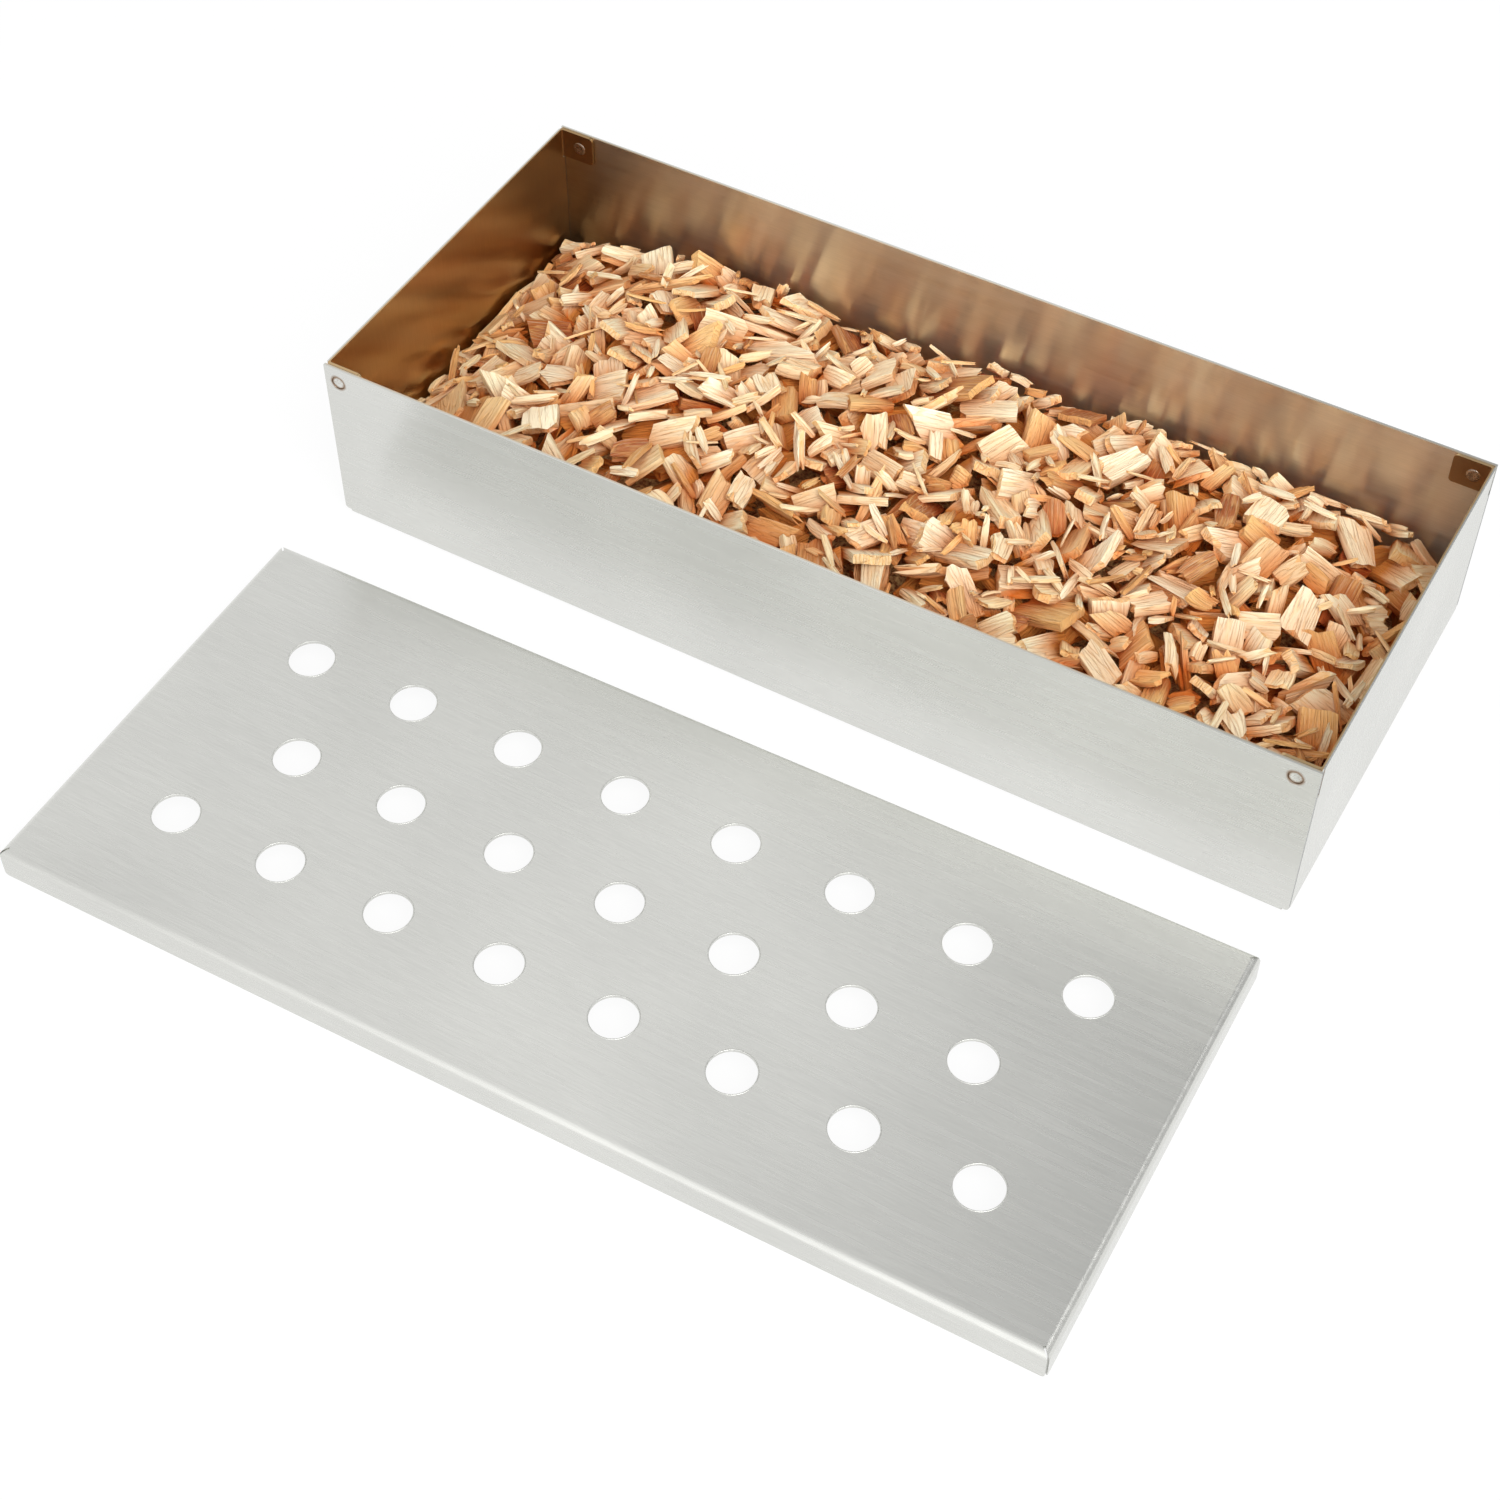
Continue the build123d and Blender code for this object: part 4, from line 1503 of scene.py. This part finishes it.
class SMOKER_OT_bed(bpy.types.Operator):
    """Fill the heap's gaps with smaller chips, and press chips into its underside and sides"""

    bl_idname = "smoker.bed"
    bl_label = "Fill the Bed"

    # Chips that are dropped into the gaps, in turn: length, width, thickness and their spread, how
    # far a gap lies under the heap's level, and how far over that level a chip may stand
    large_chips = np.array([10.8, 6.6, 2.5]) * mm, 0.3, 4.4 * mm, -1.2 * mm
    small_chips = np.array([7.2, 4.2, 1.8]) * mm, 0.35, 3.4 * mm, -0.9 * mm
    splinters = np.array([7.5, 1.5, 0.9]) * mm, 0.5, 2.4 * mm, 0.0
    # How far the bed of crumbs lies under the heap's roof, and back from its sides and floor
    roof_inset = 0.6 * mm
    side_inset = 1.5 * mm

    def execute(self, context):
        chips = context.scene.smoker_chips
        random = np.random.default_rng(chips.seed + 1)
        low, high = (np.array(corner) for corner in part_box("packed_chips"))
        planes = upper_planes("packed_chips")

        def roof(x, y):
            return lowest_plane(planes, x, y)

        heap = heap_of_solids()
        tones = ((0, chips.dark), (0.14, chips.golden), (0.45, chips.pale), (1, chips.cream))
        wood = split_wood("wood_filling", tones)
        large = heap.settle(random, chips.filling_count, *self.large_chips)
        small = heap.settle(random, chips.filling_count, *self.small_chips)
        splinters = heap.settle(random, chips.splinter_count, *self.splinters)
        pressed = pressed_charge(chips.crust_count, random, low, high, roof)
        for name, charge, habit, slot in (
            ("filling_chips", large, block_habit, "pale_wood"),
            ("small_chips", small, flake_habit, "pale_wood"),
            ("splinters", splinters, sliver_habit, "golden_wood"),
            ("pressed_chips", pressed, block_habit, "packed_wood"),
        ):
            piece = chip_piece(name, charge, random, habit, chips.fray, wood, heap)
            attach(piece, "wood_chips")
        shape = bed_surface(low, high, roof, random, self.roof_inset, self.side_inset)
        # The bed's dark colour is painted shade deep between the chips
        bed = new_piece("packed_bed", *shape, bed_crumbs(), smooth=False)
        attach(bed, "wood_chips")
        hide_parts("packed_chips")
        return {"FINISHED"}


class SMOKER_OT_stage(bpy.types.Operator):
    """Set the camera, the white floor, the lamps and the studio round them"""

    bl_idname = "smoker.stage"
    bl_label = "Set the Stage"

    floor_reach = 3.0
    floor_colour = (0.86, 0.86, 0.86, 1.0)
    key_place, key_size = (0.62, -0.60, 1.05), 0.8
    fill_place, fill_size = (1.2, -0.75, 0.5), 0.9
    # Between the tray and the lid
    lamp_target = (0, -0.05, 0)

    def execute(self, context):
        stage = context.scene.smoker_stage
        self.camera(context, stage)
        self.floor(stage)
        self.lamp(context, "key", self.key_place, self.key_size, stage.key_power)
        self.lamp(context, "fill", self.fill_place, self.fill_size, stage.fill_power)
        self.studio(context, stage)
        context.scene.view_settings.view_transform = "Standard"
        return {"FINISHED"}

    @staticmethod
    def aimed(place, target, roll=0.0):
        """Stand at place, look at target and turn by roll."""
        aim = (Vector(target) - Vector(place)).to_track_quat("-Z", "Y").to_matrix().to_4x4()
        return Matrix.Translation(place) @ aim @ Matrix.Rotation(roll, 4, "Z")

    def camera(self, context, stage):
        """Camera at its place, aimed at its target, turned by its roll."""
        data = bpy.data.cameras.new("camera")
        data.lens = stage.lens
        data.sensor_width = 36.0
        camera = bpy.data.objects.new("camera", data)
        camera.matrix_world = self.aimed(stage.camera_place, stage.camera_target, stage.camera_roll)
        context.scene.collection.objects.link(camera)
        context.scene.camera = camera

    def lamp(self, context, name, place, size, power):
        """A square area lamp aimed at the object."""
        data = bpy.data.lights.new(name, "AREA")
        data.size = size
        data.energy = power
        lamp = bpy.data.objects.new(name, data)
        lamp.matrix_world = self.aimed(place, self.lamp_target)
        context.scene.collection.objects.link(lamp)

    def floor(self, stage):
        """A white floor. The camera and the steel see it as plain white with a light shadow. From
        below it is clear, so that the object's underside shows."""
        material = bpy.data.materials.new("floor")
        tree = empty_tree(material)
        matt = put(tree, "ShaderNodeBsdfDiffuse")
        feed_all(tree, matt, Color=self.floor_colour)
        path = put(tree, "ShaderNodeLightPath").outputs
        seen = maths(tree, "MAXIMUM", path["Is Camera Ray"], path["Is Glossy Ray"])
        seen = maths(tree, "MAXIMUM", seen, path["Is Transmission Ray"])
        glow = put(tree, "ShaderNodeEmission")
        below = put(tree, "ShaderNodeNewGeometry").outputs["Backfacing"]
        clear = put(tree, "ShaderNodeBsdfTransparent")
        surface = matt.outputs[0]
        seen = product(tree, seen, 1.0 - stage.floor_shadow)
        for factor, other in ((seen, glow), (below, clear)):
            mixed = put(tree, "ShaderNodeMixShader")
            for source, socket in zip((factor, surface, other.outputs[0]), mixed.inputs):
                feed(tree, source, socket)
            surface = mixed.outputs[0]
        feed_all(tree, put(tree, "ShaderNodeOutputMaterial"), Surface=surface)
        corners = self.floor_reach * np.array([(-1, -1, 0), (1, -1, 0), (1, 1, 0), (-1, 1, 0)])
        floor = new_piece("floor", corners, [(0, 1, 2, 3)], material, smooth=False)

    def studio(self, context, stage):
        """The studio's walls, by the direction that one looks in: bright low down, greyer overhead,
        darker towards the right and most so at the back, and with a bright window at the front."""
        world = bpy.data.worlds.new("studio")
        context.scene.world = world
        tree = empty_tree(world)
        way = axes(tree, put(tree, "ShaderNodeTexCoord").outputs["Generated"])
        right = remap(tree, way["X"], -0.30, -0.10)
        dusk = product(tree, right, remap(tree, way["Y"], 0.40, 0.60, 0.24, 0.72))
        walls = product(
            tree,
            remap(tree, way["Z"], 0.0, 0.85, 1.2, 1.0),
            remap(tree, way["Z"], 0.0, 0.12, 1.15, 1.0),
            maths(tree, "SUBTRACT", 1.0, dusk),
            remap(tree, way["X"], -0.5, -0.34, 0.9, 1.0),
        )
        window = product(
            tree, remap(tree, way["Y"], -0.3, -0.5), remap(tree, way["X"], -0.5, -0.1), 0.7
        )
        level = product(tree, maths(tree, "ADD", walls, window), stage.sky)
        light = put(tree, "ShaderNodeBackground")
        feed_all(tree, light, Color=(1.0, 1.0, 1.0, 1.0), Strength=level)
        feed_all(tree, put(tree, "ShaderNodeOutputWorld"), Surface=light.outputs[0])


class SMOKER_PT_panel(bpy.types.Panel):
    """The box's sizes, colours and steps"""

    bl_label = "Smoker Box"
    bl_idname = "SMOKER_PT_panel"
    bl_space_type = "VIEW_3D"
    bl_region_type = "UI"
    bl_category = "Smoker Box"

    def draw(self, context):
        for settings, operators in sections:
            box = self.layout.box()
            group = getattr(context.scene, settings)
            for name in type(group).__annotations__:
                box.prop(group, name)
            for operator in operators:
                box.operator(operator.bl_idname)


property_groups = {
    "smoker_sheet": SheetProperties,
    "smoker_lid": LidProperties,
    "smoker_weld": WeldProperties,
    "smoker_chips": ChipProperties,
    "smoker_stage": StageProperties,
}
sections = (
    ("smoker_stage", (SMOKER_OT_stage,)),
    ("smoker_sheet", (SMOKER_OT_sheets,)),
    ("smoker_lid", (SMOKER_OT_hole_rims,)),
    ("smoker_weld", (SMOKER_OT_welds,)),
    ("smoker_chips", (SMOKER_OT_chips, SMOKER_OT_bed)),
)
classes = (
    *property_groups.values(),
    *(operator for _, operators in sections for operator in operators),
    SMOKER_PT_panel,
)


def register():
    for one in classes:
        bpy.utils.register_class(one)
    for name, group in property_groups.items():
        setattr(bpy.types.Scene, name, bpy.props.PointerProperty(type=group))


def unregister():
    for name in property_groups:
        delattr(bpy.types.Scene, name)
    for one in reversed(classes):
        bpy.utils.unregister_class(one)


def main():
    register()
    bpy.ops.smoker.stage()
    bpy.ops.smoker.sheets()
    bpy.ops.smoker.hole_rims()
    bpy.ops.smoker.welds()
    bpy.ops.smoker.chips()
    bpy.ops.smoker.bed()


if __name__ == "__main__":
    main()
